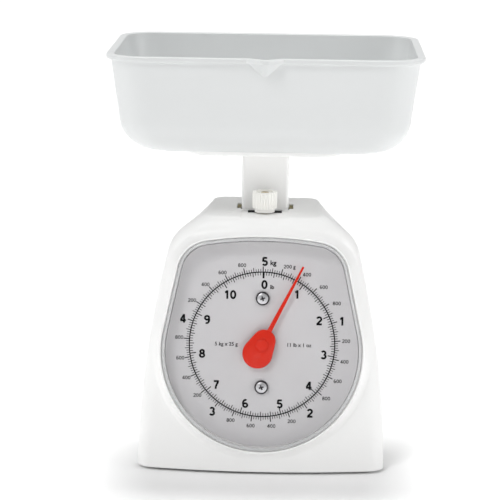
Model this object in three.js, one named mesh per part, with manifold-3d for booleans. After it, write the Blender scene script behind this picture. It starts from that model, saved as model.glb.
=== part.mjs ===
// Mechanical dial scale with a lift-off tray: housing, dial, weighing mechanism and tray.
// Millimetres, +Z up, the front faces -Y. The column stands on x = 0, y = 0 of the scale group.
import * as THREE from 'three';
import { mergeVertices } from 'three/addons/utils/BufferGeometryUtils.js';
import Module from 'manifold-3d';

const wasm = await Module();
wasm.setup();

// Clearances
const CLEARANCE = 0.3; // running and seating gap all round
const NOTCH_GAP = 3.3; // gap beside the column in the housing's top
const OVERCUT = 1; // a hole is cut past both faces

// Housing
const FOOT_HEIGHT = 2.4;
const FOOT_RADIUS = 7;
const BODY_BOTTOM = 2;
const BODY_TOP = 169;
const BODY_BASE_WIDTH = 165;
const SIDE_LEAN = 2.48; // half width lost evenly up to the shoulder
const SIDE_CURVE = 16.28; // half width lost by the swelling of the side
const SHOULDER_HEIGHT = 24;
const SHOULDER_FULLNESS = 0.6; // 1 rounds the shoulder fully, 0 makes it a plain slope
const TOP_WIDTH = 80;
const BODY_FRONT = 66; // column axis to the front of the base
const BODY_BACK = 56;
const FRONT_LEAN = THREE.MathUtils.degToRad(7.3);
const BACK_LEAN = THREE.MathUtils.degToRad(6);
const FRONT_BOW = 420; // radius of the bowed front in plan
const FRONT_CORNER = 12;
const BACK_CORNER = 8;
const BACK_TAPER = 9; // each side is that much nearer the middle at the back
const SHOULDER_TAPER = 19; // the same where the shoulder is drawn in behind the front
const TOP_TAPER = 4.5; // the same at the top
const TOP_EDGE_HEIGHT = 9;
const TOP_EDGE_FRONT = 6;
const TOP_EDGE_BACK = 3;
const WALL = 2.5;
const BASE_THICKNESS = 2.6;
const POST_SIZE = 10;
const POST_HEIGHT = 30;
const POST_INSET = 16; // screw post from the side of the base
const POST_FRONT_INSET = 26;
const POST_BACK_INSET = 22;
const FOOT_INSET = 27;

// Dial window, in the plane of the dial: u to the right, v up, s towards the viewer
const FACE_TILT = THREE.MathUtils.degToRad(7);
const LENS_PROUD = 3.1; // lens in front of the housing's face at the middle
const WINDOW_INSET = 16.5; // side of the base to the window
const WINDOW_CHIN = 13.12; // lower edge of the housing to the window
const WINDOW_BROW = 13.4; // window to the housing's top
const WINDOW_ARC_DROP = 4; // lower arc's centre under the dial's centre
const WINDOW_SIDE_LEAN = THREE.MathUtils.degToRad(12.1);
const WINDOW_CORNER = 22;
const WINDOW_TOP_RADIUS = 240;
const LENS_WALL = 2.4;
const LENS_PLATE = 2;
const LENS_DEPTH = 4.2;
const LENS_EDGE = 0.7;
const LEDGE_WIDTH = 4.6;
const SKIRT_WALL = 2.4;
const POINTER_SPACE = 6.3; // dial to the ledge that the lens seats on
const FRAME_LIP = 1.1;
const FRAME_FLARE = 6;
const DIAL_INSET = 1.2;
const DIAL_THICKNESS = 1;

// Fasteners
const SCREW_RADIUS = 1.5;
const SCREW_HEAD_RADIUS = 3.25;
const SCREW_HEAD_HEIGHT = 1.5;
const SCREW_GRIP = 9;
const DIAL_SCREW_RADIUS = 2.5;
const DIAL_SCREW_HEAD_RADIUS = 4.85;
const DIAL_SCREW_HEAD_HEIGHT = 2.6;
const DIAL_SCREW_LENGTH = 7;
const DIAL_SCREW_UP = 30.8;
const DIAL_SCREW_DOWN = 28.5;
const CROSS_WIDTH = 1.3;
const CROSS_DEPTH = 1.4;
const CROSS_REACH = 0.55; // share of the head's radius
const HEAD_SIDE = 0.45; // share of the head's height
const HEAD_CROWN_RADIUS = 0.75;
const HEAD_CROWN_HEIGHT = 0.9;
const CHASSIS_SCREW_SPARE = 2; // end of a chassis screw past the sheet

// Pointer and its spindle
const REST_ANGLE = THREE.MathUtils.degToRad(26.9); // reading in the photo
const POINTER_LIFT = 3; // dial to the back of the pointer
const POINTER_THICKNESS = 1.6;
const NEEDLE_GAP = 1.6; // needle's tip to the window's ledge
const NEEDLE_ROOT_WIDTH = 3.3;
const NEEDLE_TIP_WIDTH = 0.9;
const TAIL_RADIUS = 10;
const TAIL_OFFSET = 6.3;
const NOSE_RADIUS = 6.9;
const NOSE_OFFSET = 2.7;
const HUB_RADIUS = 4.4;
const HUB_RISE = 2.2;
const HUB_STEP = 1; // hub's back behind the paddle
const HUB_CAP = 1.5; // hub's front over the spindle's end
const SPINDLE_RADIUS = 1.5;
const BUSH_WALL = 1.3;
const BUSH_FLANGE = 1.5;
const PINION_TEETH = 10;
const TOOTH_MODULE = 0.5;
const TOOTH_ADDENDUM = 0.35;
const TOOTH_ROOT_GAP = 0.3;
const TOOTH_ROOT_SHARE = 0.3; // half a tooth's root as a share of the pitch
const PINION_TIP_SHARE = 0.13;
const RACK_TIP_SHARE = 0.1;
const PINION_LENGTH = 9;
const PINION_SETBACK = 14.5; // dial to the middle of the pinion
const PINION_END_GAP = 1.1; // pinion to the bridge
const BRIDGE_HALF_WIDTH = 14.5;
const BRIDGE_HEIGHT = 12;
const BRIDGE_EAR = 7.5;

// Chassis of bent sheet
const SHEET = 1.5;
const CHASSIS_WIDTH = 60;
const CHASSIS_BACK = 29; // column axis to the back plate
const CHASSIS_TOP_GAP = 1;
const LUG_RISE = 2.7;
const CHASSIS_SCREW_X = 22;
const CHASSIS_SCREW_FRONT = 30;
const CHASSIS_SCREW_BACK = 20;

// Column and its bracket
const COLUMN_WIDTH = 31.4;
const COLUMN_DEPTH = 20;
const COLUMN_CORNER = 2.5;
const COLUMN_WALL = 2.4;
const COLUMN_INNER_CORNER = 1;
const COLUMN_RISE = 40.7; // housing's top to the platform
const COLUMN_DROP = 9; // column's lower end over the rack's arm
const COLUMN_CAP = 5;
const COLUMN_BOSS_X = 9;
const COLUMN_BOSS_RADIUS = 3.6;
const BRACKET_HALF_WIDTH = 14;
const BRACKET_DEPTH = 10;
const BRACKET_BACK = 1;
const BRACKET_TAIL = 3; // bracket's lower end under the lower lever's pivot
const BRACKET_WEB_TAIL = 3; // bracket's front web under the rack's arm
const SPRING_BAR_HEIGHT = 3;
const SPRING_BAR_DEPTH = 4;

// Levers
const LEVER_LENGTH = 30;
const LEVER_HEIGHT = 9;
const LEVER_PIVOT_Y = 24;
const UPPER_LEVER_DROP = 12; // column's lower end to the upper lever's pivot
const LEVER_SPACING = 70;
const LEVER_SIDE_GAP = 0.9; // column to the lever's arm
const LEVER_WEB = 6;
const EAR_GAP = 1.9;
const EAR_HEIGHT = 10;
const PIN_RADIUS = 2;
const PIN_END = 1;

// Rack
const RACK_DEPTH = 3;
const RACK_WIDTH = 5;
const RACK_ARM_RISE = 20.17; // pinion to the underside of the rack's arm
const RACK_ARM_HEIGHT = 6;
const RACK_SPARE = 3.5;

// Zero adjuster and springs
const KNOB_GAP = 1.75; // column to the knob
const KNOB_RADIUS = 8.25;
const KNOB_HEIGHT = 11;
const KNOB_RIBS = 28;
const KNOB_RIB_DEPTH = 0.55;
const KNOB_HOLLOW = 0.6;
const COLLAR_RADIUS = 6.7;
const COLLAR_HEIGHT = 2.7;
const ZERO_SCREW_RADIUS = 2.5;
const ZERO_SCREW_SPARE = 8; // end of the screw under the hanger
const ZERO_SLOT_WIDTH = 23;
const ZERO_SLOT_DEPTH = 7.6;
const HANGER_DROP = 19.5; // chassis top to the hanger's underside
const HANGER_HEIGHT = 5;
const HANGER_DEPTH = 8;
const SPRING_X = 20;
const SPRING_RADIUS = 4.5;
const SPRING_WIRE = 1.2;
const SPRING_TURNS = 12;
const SPRING_LEAD = 5;
const SPRING_SPAN = 85; // spring bar to the hanger
const SPRING_STEPS = 9; // along one turn of the wire

// Platform and tray
const PLATFORM_WIDTH = 100;
const PLATFORM_DEPTH = 80;
const PLATFORM_THICKNESS = 3.5;
const PLATFORM_CORNER = 12;
const PLATFORM_EDGE = 1;
const TRAY_WIDTH = 206;
const TRAY_DEPTH = 154;
const TRAY_HEIGHT = 65;
const TRAY_CORNER = 26;
const TRAY_CORNER_SHRINK = 0.5; // corner radius lost per inset
const TRAY_WALL = 2.2;
const TRAY_FOOT_RADIUS = 25;
const TRAY_DRAFT = 5;
const LIP_WIDTH = 3;
const LIP_HEIGHT = 3.2;
const LIP_SOFT = 0.8; // rounding of the lip's edges
const SPOUT_WIDTH = 28;
const SPOUT_DROP = 12;
const SPOUT_REACH = 6;
const SPOUT_ROOT = 0.15; // share of the spout's width where it starts

// Worked out from the driving dimensions
const SHOULDER_Z = BODY_TOP - SHOULDER_HEIGHT;
const BASE_PLATE_Z = FOOT_HEIGHT;
const CHASSIS_BOTTOM = BASE_PLATE_Z + BASE_THICKNESS;
const CHASSIS_TOP = BODY_TOP - WALL - CHASSIS_TOP_GAP;
const PLATFORM_Z = BODY_TOP + COLUMN_RISE;
const ZERO_Y = -(COLUMN_DEPTH / 2 + KNOB_GAP + KNOB_RADIUS);
const HANGER_Z = CHASSIS_TOP - HANGER_DROP;
const ZERO_SCREW_BOTTOM = HANGER_Z - ZERO_SCREW_SPARE;
const WINDOW_RADIUS = BODY_BASE_WIDTH / 2 - WINDOW_INSET;
const WINDOW_LOWER = (WINDOW_RADIUS + WINDOW_ARC_DROP) * Math.cos(FACE_TILT);
const DIAL_HEIGHT = BODY_BOTTOM + WINDOW_CHIN + WINDOW_LOWER;
const WINDOW_TOP = (BODY_TOP - WINDOW_BROW - DIAL_HEIGHT) / Math.cos(FACE_TILT);
const WINDOW_SIDE = WINDOW_RADIUS - WINDOW_ARC_DROP * Math.sin(WINDOW_SIDE_LEAN);
const NEEDLE_LENGTH = WINDOW_SIDE - LEDGE_WIDTH - NEEDLE_GAP;
const LENS_BACK = POINTER_SPACE + CLEARANCE;
const LENS_FRONT = LENS_BACK + LENS_DEPTH;
const CHASSIS_FACE = -DIAL_THICKNESS - CLEARANCE;
const CHASSIS_FACE_BACK = CHASSIS_FACE - SHEET;
const DIAL_Y = frontAt(DIAL_HEIGHT) + (LENS_FRONT - LENS_PROUD) / Math.cos(FACE_TILT);
const PINION_RADIUS = (PINION_TEETH * TOOTH_MODULE) / 2;
const PINION_Y = DIAL_Y + PINION_SETBACK * Math.cos(FACE_TILT);
const PINION_Z = DIAL_HEIGHT - PINION_SETBACK * Math.sin(FACE_TILT);
const RACK_ARM_Z = PINION_Z + RACK_ARM_RISE;
const RACK_ARM_TOP = RACK_ARM_Z + RACK_ARM_HEIGHT;
const COLUMN_BOTTOM = RACK_ARM_TOP + COLUMN_DROP;
const UPPER_LEVER_Z = COLUMN_BOTTOM - UPPER_LEVER_DROP;
const LOWER_LEVER_Z = UPPER_LEVER_Z - LEVER_SPACING;
const FULL_TRAVEL = (2 * Math.PI * PINION_RADIUS) / Math.cos(FACE_TILT);
const REST_TRAVEL = (FULL_TRAVEL * REST_ANGLE) / (2 * Math.PI);
const LEVER_ANGLE = Math.asin((FULL_TRAVEL / 2 - REST_TRAVEL) / LEVER_LENGTH);
const LEVER_END_Y = LEVER_PIVOT_Y - LEVER_LENGTH * Math.cos(LEVER_ANGLE);
const LEVER_END_RISE = LEVER_LENGTH * Math.sin(LEVER_ANGLE);
const LEVER_SLOT_BACK = LEVER_LENGTH * (1 - Math.cos(LEVER_ANGLE)) + CLEARANCE;
const LEVER_SLOT_FRONT = Math.hypot(LEVER_PIVOT_Y - LEVER_END_Y, FULL_TRAVEL / 2) - LEVER_LENGTH;
const ARM_INNER_X = COLUMN_WIDTH / 2 + LEVER_SIDE_GAP;
const ARM_OUTER_X = ARM_INNER_X + SHEET;
const EAR_INNER_X = ARM_OUTER_X + EAR_GAP;
const BRACKET_FRONT = BRACKET_BACK - BRACKET_DEPTH;
const BRACKET_TOP = COLUMN_BOTTOM;
const BRACKET_BOTTOM = LOWER_LEVER_Z - BRACKET_TAIL;
const SPRING_BAR_FRONT = ZERO_Y - SPRING_BAR_DEPTH / 2;
const SPRING_BAR_HALF = SPRING_X + SPRING_RADIUS;
const SPRING_BAR_TOP = HANGER_Z - SPRING_SPAN;
const SPRING_BAR_Z = SPRING_BAR_TOP - SPRING_BAR_HEIGHT;
const KNOB_Z = BODY_TOP + CLEARANCE + COLLAR_HEIGHT;
const KNOB_TOP = KNOB_Z + KNOB_HEIGHT;
const BRIDGE_BACK = -(PINION_SETBACK + PINION_LENGTH / 2 + PINION_END_GAP + SHEET);
const TRAY_Z = PLATFORM_Z + PLATFORM_THICKNESS;
const SCREW_HOLE = SCREW_RADIUS + CLEARANCE;

// Finishes
const finish = (color, roughness, metalness = 0) =>
  new THREE.MeshStandardMaterial({ color, roughness, metalness });
const WHITE = finish(0xf4f4f2, 0.3);
const TRAY_WHITE = finish(0xf1f2f3, 0.35);
const IVORY = finish(0xfaf8f0, 0.45);
const CLEAR = finish(0xe8ecee, 0.08);
const DIAL_GREY = finish(0xcbcacc, 0.5);
const RED = finish(0xe23a2c, 0.35);
const CHROME = finish(0xd8d8da, 0.15, 1);
const STEEL = finish(0xb4b6b8, 0.35, 1);
const PASSIVATED = finish(0x9c9468, 0.4, 1);
const BRASS = finish(0xb89a5a, 0.3, 1);
const RUBBER = finish(0x3a3a3c, 0.9);

// Geometry helpers
function toSolid(geometry) {
  const bare = new THREE.BufferGeometry();
  bare.setAttribute('position', geometry.getAttribute('position'));
  bare.setIndex(geometry.getIndex());
  const merged = mergeVertices(bare, 1e-4);
  const mesh = new wasm.Mesh({
    numProp: 3,
    vertProperties: new Float32Array(merged.getAttribute('position').array),
    triVerts: new Uint32Array(merged.getIndex().array),
  });
  return new wasm.Manifold(mesh);
}

function toGeometry(solid) {
  const mesh = solid.getMesh();
  const geometry = new THREE.BufferGeometry();
  geometry.setAttribute('position', new THREE.BufferAttribute(new Float32Array(mesh.vertProperties), 3));
  geometry.setIndex(new THREE.BufferAttribute(new Uint32Array(mesh.triVerts), 1));
  return geometry;
}

function join(...geometries) {
  return toGeometry(geometries.map(toSolid).reduce((whole, piece) => whole.add(piece)));
}

function cut(geometry, ...tools) {
  return toGeometry(tools.map(toSolid).reduce((rest, tool) => rest.subtract(tool), toSolid(geometry)));
}

function common(geometry, other) {
  return toGeometry(toSolid(geometry).intersect(toSolid(other)));
}

function named(name, geometry, material) {
  const flat = geometry.index ? geometry.toNonIndexed() : geometry;
  flat.computeVertexNormals();
  const mesh = new THREE.Mesh(flat, material);
  mesh.name = name;
  return mesh;
}

function block(x0, x1, y0, y1, z0, z1) {
  const geometry = new THREE.BoxGeometry(x1 - x0, y1 - y0, z1 - z0);
  return geometry.translate((x0 + x1) / 2, (y0 + y1) / 2, (z0 + z1) / 2);
}

function rod(radius, z0, z1, x = 0, y = 0, sides = 20) {
  const geometry = new THREE.CylinderGeometry(radius, radius, z1 - z0, sides);
  return geometry.rotateX(Math.PI / 2).translate(x, y, (z0 + z1) / 2);
}

function rodAlongX(radius, x0, x1, y, z, sides = 16) {
  const geometry = new THREE.CylinderGeometry(radius, radius, x1 - x0, sides);
  return geometry.rotateZ(Math.PI / 2).translate((x0 + x1) / 2, y, z);
}

function rodAlongY(radius, y0, y1, x, z, sides = 12) {
  const geometry = new THREE.CylinderGeometry(radius, radius, y1 - y0, sides);
  return geometry.translate(x, (y0 + y1) / 2, z);
}

function turned(profile, sides = 20) {
  const points = profile.map(([radius, height]) => new THREE.Vector2(radius, height));
  return new THREE.LatheGeometry(points, sides).rotateX(Math.PI / 2);
}

// A skin over rings of equally many points, each counterclockwise seen from above, closed at both ends.
function loft(rings) {
  const count = rings[0].length;
  const positions = rings.flat().flatMap((p) => [p.x, p.y, p.z]);
  const faces = [];
  for (let r = 0; r + 1 < rings.length; r += 1) {
    for (let i = 0; i < count; i += 1) {
      const a = r * count + i;
      const b = r * count + ((i + 1) % count);
      faces.push(a, b, b + count, a, b + count, a + count);
    }
  }
  const flat = (ring) => ring.map((p) => new THREE.Vector2(p.x, p.y));
  const last = (rings.length - 1) * count;
  const endFaces = (ring) => THREE.ShapeUtils.triangulateShape(flat(ring), []);
  endFaces(rings[0]).forEach(([a, b, c]) => faces.push(a, c, b));
  endFaces(rings[rings.length - 1]).forEach(([a, b, c]) => faces.push(last + a, last + b, last + c));
  const geometry = new THREE.BufferGeometry();
  geometry.setAttribute('position', new THREE.Float32BufferAttribute(positions, 3));
  geometry.setIndex(faces);
  return geometry;
}

function arcPoints(cx, cy, radius, from, to, steps, z) {
  return Array.from({ length: steps + 1 }, (_, i) => {
    const angle = from + ((to - from) * i) / steps;
    return new THREE.Vector3(cx + radius * Math.cos(angle), cy + radius * Math.sin(angle), z);
  });
}

function roundedRing(halfX, halfY, radius, z, steps = 5) {
  const x = halfX - radius;
  const y = halfY - radius;
  const quarter = Math.PI / 2;
  return [
    ...arcPoints(x, -y, radius, -quarter, 0, steps, z),
    ...arcPoints(x, y, radius, 0, quarter, steps, z),
    ...arcPoints(-x, y, radius, quarter, 2 * quarter, steps, z),
    ...arcPoints(-x, -y, radius, 2 * quarter, 3 * quarter, steps, z),
  ];
}

// Housing outline by height
function halfWidthAt(z) {
  const share = (z - BODY_BOTTOM) / (SHOULDER_Z - BODY_BOTTOM);
  return BODY_BASE_WIDTH / 2 - SIDE_LEAN * share - SIDE_CURVE * share * share;
}

function topEdge(z, run) {
  const rise = Math.max(0, (z - (BODY_TOP - TOP_EDGE_HEIGHT)) / TOP_EDGE_HEIGHT);
  return run * (1 - Math.sqrt(Math.max(0, 1 - rise * rise)));
}

function frontAt(z) {
  return -BODY_FRONT + (z - BODY_BOTTOM) * Math.tan(FRONT_LEAN) + topEdge(z, TOP_EDGE_FRONT);
}

function backAt(z) {
  return BODY_BACK - (z - BODY_BOTTOM) * Math.tan(BACK_LEAN) - topEdge(z, TOP_EDGE_BACK);
}

function bodyRing(halfWidth, taper, front, back, inset, z) {
  const half = halfWidth - inset;
  const rear = half - taper;
  const frontRadius = FRONT_CORNER - inset;
  const backRadius = BACK_CORNER - inset;
  const bow = (x) => front + inset + (x * x) / (2 * FRONT_BOW);
  const frontX = half - frontRadius;
  const cornerY = bow(frontX) + frontRadius;
  const backY = back - inset - backRadius;
  const quarter = Math.PI / 2;
  const steps = 5;
  const bowSteps = 10;
  const bowPoints = Array.from({ length: bowSteps - 1 }, (_, i) => {
    const x = -frontX + (2 * frontX * (i + 1)) / bowSteps;
    return new THREE.Vector3(x, bow(x), z);
  });
  return [
    ...arcPoints(-frontX, cornerY, frontRadius, 2 * quarter, 3 * quarter, steps, z),
    ...bowPoints,
    ...arcPoints(frontX, cornerY, frontRadius, -quarter, 0, steps, z),
    ...arcPoints(rear - backRadius, backY, backRadius, 0, quarter, steps, z),
    ...arcPoints(backRadius - rear, backY, backRadius, quarter, 2 * quarter, steps, z),
  ];
}

// Outer skin at inset 0; the cavity at the wall's thickness, which runs out below the lower edge.
function bodySkin(inset) {
  const sideSteps = 5;
  const rings = [];
  for (let i = 0; i < sideSteps; i += 1) {
    const z = BODY_BOTTOM + ((SHOULDER_Z - BODY_BOTTOM) * i) / sideSteps;
    const ringZ = i === 0 ? z - inset : z;
    rings.push(bodyRing(halfWidthAt(z), BACK_TAPER, frontAt(z), backAt(z), inset, ringZ));
  }
  // Over the shoulder a point holds the half width, the height and the taper towards the back.
  const start = new THREE.Vector3(halfWidthAt(SHOULDER_Z), SHOULDER_Z, BACK_TAPER);
  const slope = (SIDE_LEAN + 2 * SIDE_CURVE) / (SHOULDER_Z - BODY_BOTTOM);
  const rise = SHOULDER_HEIGHT * SHOULDER_FULLNESS;
  const pull = new THREE.Vector3(start.x - slope * rise, SHOULDER_Z + rise, SHOULDER_TAPER);
  const end = new THREE.Vector3(TOP_WIDTH / 2, BODY_TOP, TOP_TAPER);
  const shoulder = new THREE.QuadraticBezierCurve3(start, pull, end);
  for (const share of [0, 0.15, 0.3, 0.45, 0.6, 0.75, 0.88, 1]) {
    const point = shoulder.getPoint(share);
    const lowered = (inset * (point.y - SHOULDER_Z)) / SHOULDER_HEIGHT;
    rings.push(bodyRing(point.x, point.z, frontAt(point.y), backAt(point.y), inset, point.y - lowered));
  }
  return loft(rings);
}

// Dial window outline, grown by an offset, at depth s
function windowRing(offset, s) {
  const lean = WINDOW_SIDE_LEAN;
  const topCentre = WINDOW_TOP - WINDOW_TOP_RADIUS;
  const reach = WINDOW_TOP_RADIUS - WINDOW_CORNER;
  const wallShare = (WINDOW_RADIUS - WINDOW_CORNER) / Math.cos(lean);
  const slope = Math.tan(lean);
  const side = wallShare - WINDOW_ARC_DROP * slope;
  const drop = topCentre;
  const a = 1 + slope * slope;
  const b = -2 * (side * slope + drop);
  const c = side * side + drop * drop - reach * reach;
  const cornerV = (-b + Math.sqrt(b * b - 4 * a * c)) / (2 * a);
  const cornerU = side - slope * cornerV;
  const turn = Math.atan2(cornerV - topCentre, cornerU);
  const corner = WINDOW_CORNER + offset;
  const round = WINDOW_RADIUS + offset;
  const lower = arcPoints(0, -WINDOW_ARC_DROP, round, Math.PI - lean, 2 * Math.PI + lean, 32, s);
  const right = arcPoints(cornerU, cornerV, corner, lean, turn, 6, s);
  const top = arcPoints(0, topCentre, WINDOW_TOP_RADIUS + offset, turn, Math.PI - turn, 10, s).slice(1, -1);
  const left = arcPoints(-cornerU, cornerV, corner, Math.PI - turn, Math.PI - lean, 6, s);
  return [...lower, ...right, ...top, ...left];
}

function windowPrism(offset, s0, s1) {
  return loft([windowRing(offset, s0), windowRing(offset, s1)]);
}

const scale = new THREE.Group();
const dial = new THREE.Group();
dial.position.set(0, DIAL_Y, DIAL_HEIGHT);
dial.rotation.x = Math.PI / 2 - FACE_TILT;
dial.updateMatrix();
scale.add(dial);
const inDial = (geometry) => geometry.applyMatrix4(dial.matrix);

// Screws: head upwards along +Z, the head's seat at z = 0
function screw(radius, headRadius, headHeight, length) {
  return turned([
    [0, -length],
    [radius, -length],
    [radius, 0],
    [headRadius, 0],
    [headRadius, headHeight * HEAD_SIDE],
    [headRadius * HEAD_CROWN_RADIUS, headHeight * HEAD_CROWN_HEIGHT],
    [0, headHeight],
  ], 16);
}

function smallScrew(length = SCREW_GRIP) {
  return screw(SCREW_RADIUS, SCREW_HEAD_RADIUS, SCREW_HEAD_HEIGHT, length);
}

// Base: plate, feet and the screws that go up through it
const basePosts = [];
for (const [row, y] of [['front', POST_FRONT_INSET - BODY_FRONT], ['back', BODY_BACK - POST_BACK_INSET]]) {
  const taper = row === 'back' ? BACK_TAPER : 0;
  for (const [hand, sign] of [['left', -1], ['right', 1]]) {
    const x = sign * (BODY_BASE_WIDTH / 2 - POST_INSET - taper);
    basePosts.push({ place: `${row}_${hand}`, x, y, sign });
  }
}
const chassisScrews = [];
for (const [row, y] of [['front', -CHASSIS_SCREW_FRONT], ['back', CHASSIS_SCREW_BACK]]) {
  for (const [hand, sign] of [['left', -1], ['right', 1]]) {
    chassisScrews.push({ place: `${row}_${hand}`, x: sign * CHASSIS_SCREW_X, y });
  }
}

function basePlate() {
  const inset = WALL + CLEARANCE;
  const top = CHASSIS_BOTTOM;
  const ring = (z) => bodyRing(halfWidthAt(top), BACK_TAPER, frontAt(top), backAt(top), inset, z);
  const plate = loft([ring(BASE_PLATE_Z), ring(top)]);
  const low = BASE_PLATE_Z - OVERCUT;
  const high = top + OVERCUT;
  const holes = [...basePosts, ...chassisScrews].map(({ x, y }) => rod(SCREW_HOLE, low, high, x, y, 12));
  return cut(plate, ...holes);
}

function addBase() {
  scale.add(named('base_plate', basePlate(), WHITE));
  for (const { place, x, y, sign } of basePosts) {
    const foot = named(`foot_${place}`, rod(FOOT_RADIUS, 0, FOOT_HEIGHT, 0, 0, 24), RUBBER);
    foot.position.set(x - sign * (FOOT_INSET - POST_INSET), y, 0);
    scale.add(foot);
  }
  const upward = (name, { x, y }, length) => {
    const mesh = named(name, smallScrew(length), STEEL);
    mesh.position.set(x, y, BASE_PLATE_Z);
    mesh.rotation.x = Math.PI;
    scale.add(mesh);
  };
  basePosts.forEach((post) => upward(`base_screw_${post.place}`, post, BASE_THICKNESS + SCREW_GRIP));
  const chassisGrip = BASE_THICKNESS + SHEET + CHASSIS_SCREW_SPARE;
  chassisScrews.forEach((spot) => upward(`chassis_screw_${spot.place}`, spot, chassisGrip));
}

// Housing shell with the dial window's frame, the screw posts and the openings in the top
function windowFrame() {
  const front = LENS_FRONT - LENS_EDGE;
  const flare = [[1, -0.5], [1, 0.25], [0.5, 0.6], [0.2, 0.85], [0, 1]];
  return loft(flare.map(([out, up]) => windowRing(FRAME_LIP + CLEARANCE + FRAME_FLARE * out, front * up)));
}

function screwPost({ x, y, sign }) {
  const half = POST_SIZE / 2;
  const outside = x + sign * BODY_BASE_WIDTH / 2;
  const inside = x - sign * half;
  const bottom = CHASSIS_BOTTOM + CLEARANCE;
  const column = [Math.min(inside, outside), Math.max(inside, outside)];
  return block(...column, y - half, y + half, bottom, bottom + POST_HEIGHT);
}

function topOpenings() {
  const low = BODY_TOP - 2 * WALL;
  const high = BODY_TOP + OVERCUT;
  const halfX = COLUMN_WIDTH / 2 + 2 * CLEARANCE;
  const halfY = COLUMN_DEPTH / 2 + 2 * CLEARANCE;
  const wide = COLUMN_WIDTH / 2 + NOTCH_GAP;
  const lip = COLUMN_DEPTH / 2 - WALL;
  const slotX = ZERO_SLOT_WIDTH / 2;
  return [
    block(-halfX, halfX, -halfY, halfY, low, high),
    block(-wide, wide, -lip, halfY, low, high),
    block(-slotX, slotX, ZERO_Y, ZERO_Y + ZERO_SLOT_DEPTH, low, high),
    rod(ZERO_SCREW_RADIUS + 2 * CLEARANCE, low, high, 0, ZERO_Y),
  ];
}

function bodyShell() {
  const skin = bodySkin(0);
  const raised = join(skin, inDial(windowFrame()));
  const hollow = cut(raised, bodySkin(WALL));
  const skirtTop = POINTER_SPACE - CLEARANCE;
  const skirtRing = windowPrism(SKIRT_WALL - LEDGE_WIDTH, CLEARANCE, skirtTop);
  const posts = basePosts.map((post) => common(screwPost(post), skin));
  const shell = join(hollow, inDial(skirtRing), ...posts);
  const pocket = windowPrism(CLEARANCE, POINTER_SPACE, LENS_FRONT + SHOULDER_HEIGHT);
  const view = windowPrism(-LEDGE_WIDTH, -SHOULDER_HEIGHT, LENS_FRONT);
  const top = CHASSIS_BOTTOM + SCREW_GRIP + OVERCUT;
  const holes = basePosts.map(({ x, y }) => rod(SCREW_HOLE, BODY_BOTTOM, top, x, y, 12));
  return cut(shell, inDial(pocket), inDial(view), ...topOpenings(), ...holes);
}

// Lens, dial plate and the two dial screws
function lens() {
  return loft([
    windowRing(-LENS_WALL, LENS_FRONT - LENS_PLATE),
    windowRing(-LENS_WALL, LENS_BACK),
    windowRing(0, LENS_BACK),
    windowRing(0, LENS_FRONT - LENS_EDGE),
    windowRing(-LENS_EDGE, LENS_FRONT),
  ]);
}

const dialScrewPlaces = [['upper', DIAL_SCREW_UP], ['lower', -DIAL_SCREW_DOWN]];
const BUSH_RADIUS = SPINDLE_RADIUS + CLEARANCE + BUSH_WALL;

function dialPlate() {
  const plate = windowPrism(-DIAL_INSET, -DIAL_THICKNESS, 0);
  const hole = DIAL_SCREW_RADIUS + CLEARANCE;
  const low = -DIAL_THICKNESS - OVERCUT;
  const holes = dialScrewPlaces.map(([, v]) => rod(hole, low, OVERCUT, 0, v));
  return cut(plate, rod(BUSH_RADIUS + 2 * CLEARANCE, low, OVERCUT), ...holes);
}

function dialScrew() {
  const plain = screw(DIAL_SCREW_RADIUS, DIAL_SCREW_HEAD_RADIUS, DIAL_SCREW_HEAD_HEIGHT, DIAL_SCREW_LENGTH);
  const arm = DIAL_SCREW_HEAD_RADIUS * CROSS_REACH;
  const half = CROSS_WIDTH / 2;
  const low = DIAL_SCREW_HEAD_HEIGHT - CROSS_DEPTH;
  const high = DIAL_SCREW_HEAD_HEIGHT + OVERCUT;
  return cut(plain, block(-arm, arm, -half, half, low, high), block(-half, half, -arm, arm, low, high));
}

function addFront() {
  scale.add(named('body_shell', bodyShell(), WHITE));
  dial.add(named('lens', lens(), CLEAR));
  dial.add(named('dial_plate', dialPlate(), DIAL_GREY));
  for (const [place, v] of dialScrewPlaces) {
    const mesh = named(`dial_screw_${place}`, dialScrew(), CHROME);
    mesh.position.set(0, v, CLEARANCE);
    dial.add(mesh);
  }
}

// Pointer: egg-shaped tail, needle and a domed hub that sits on the spindle's end
function pointerTail() {
  const lean = Math.asin((TAIL_RADIUS - NOSE_RADIUS) / (TAIL_OFFSET + NOSE_OFFSET));
  const ring = (s) => [
    ...arcPoints(0, -TAIL_OFFSET, TAIL_RADIUS, Math.PI - lean, 2 * Math.PI + lean, 18, s),
    ...arcPoints(0, NOSE_OFFSET, NOSE_RADIUS, lean, Math.PI - lean, 12, s),
  ];
  return loft([ring(POINTER_LIFT), ring(POINTER_LIFT + POINTER_THICKNESS)]);
}

function needle() {
  const root = NEEDLE_ROOT_WIDTH / 2;
  const tip = NEEDLE_TIP_WIDTH / 2;
  const ring = (s) => [
    new THREE.Vector3(-root, NOSE_OFFSET, s),
    new THREE.Vector3(root, NOSE_OFFSET, s),
    new THREE.Vector3(tip, NEEDLE_LENGTH, s),
    new THREE.Vector3(-tip, NEEDLE_LENGTH, s),
  ];
  const skim = POINTER_THICKNESS / 8;
  return loft([ring(POINTER_LIFT + skim), ring(POINTER_LIFT + POINTER_THICKNESS - skim)]);
}

const HUB_BACK = POINTER_LIFT - HUB_STEP;
const HUB_FRONT = POINTER_LIFT + POINTER_THICKNESS + HUB_RISE;
const SPINDLE_FRONT = HUB_FRONT - HUB_CAP;

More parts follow.
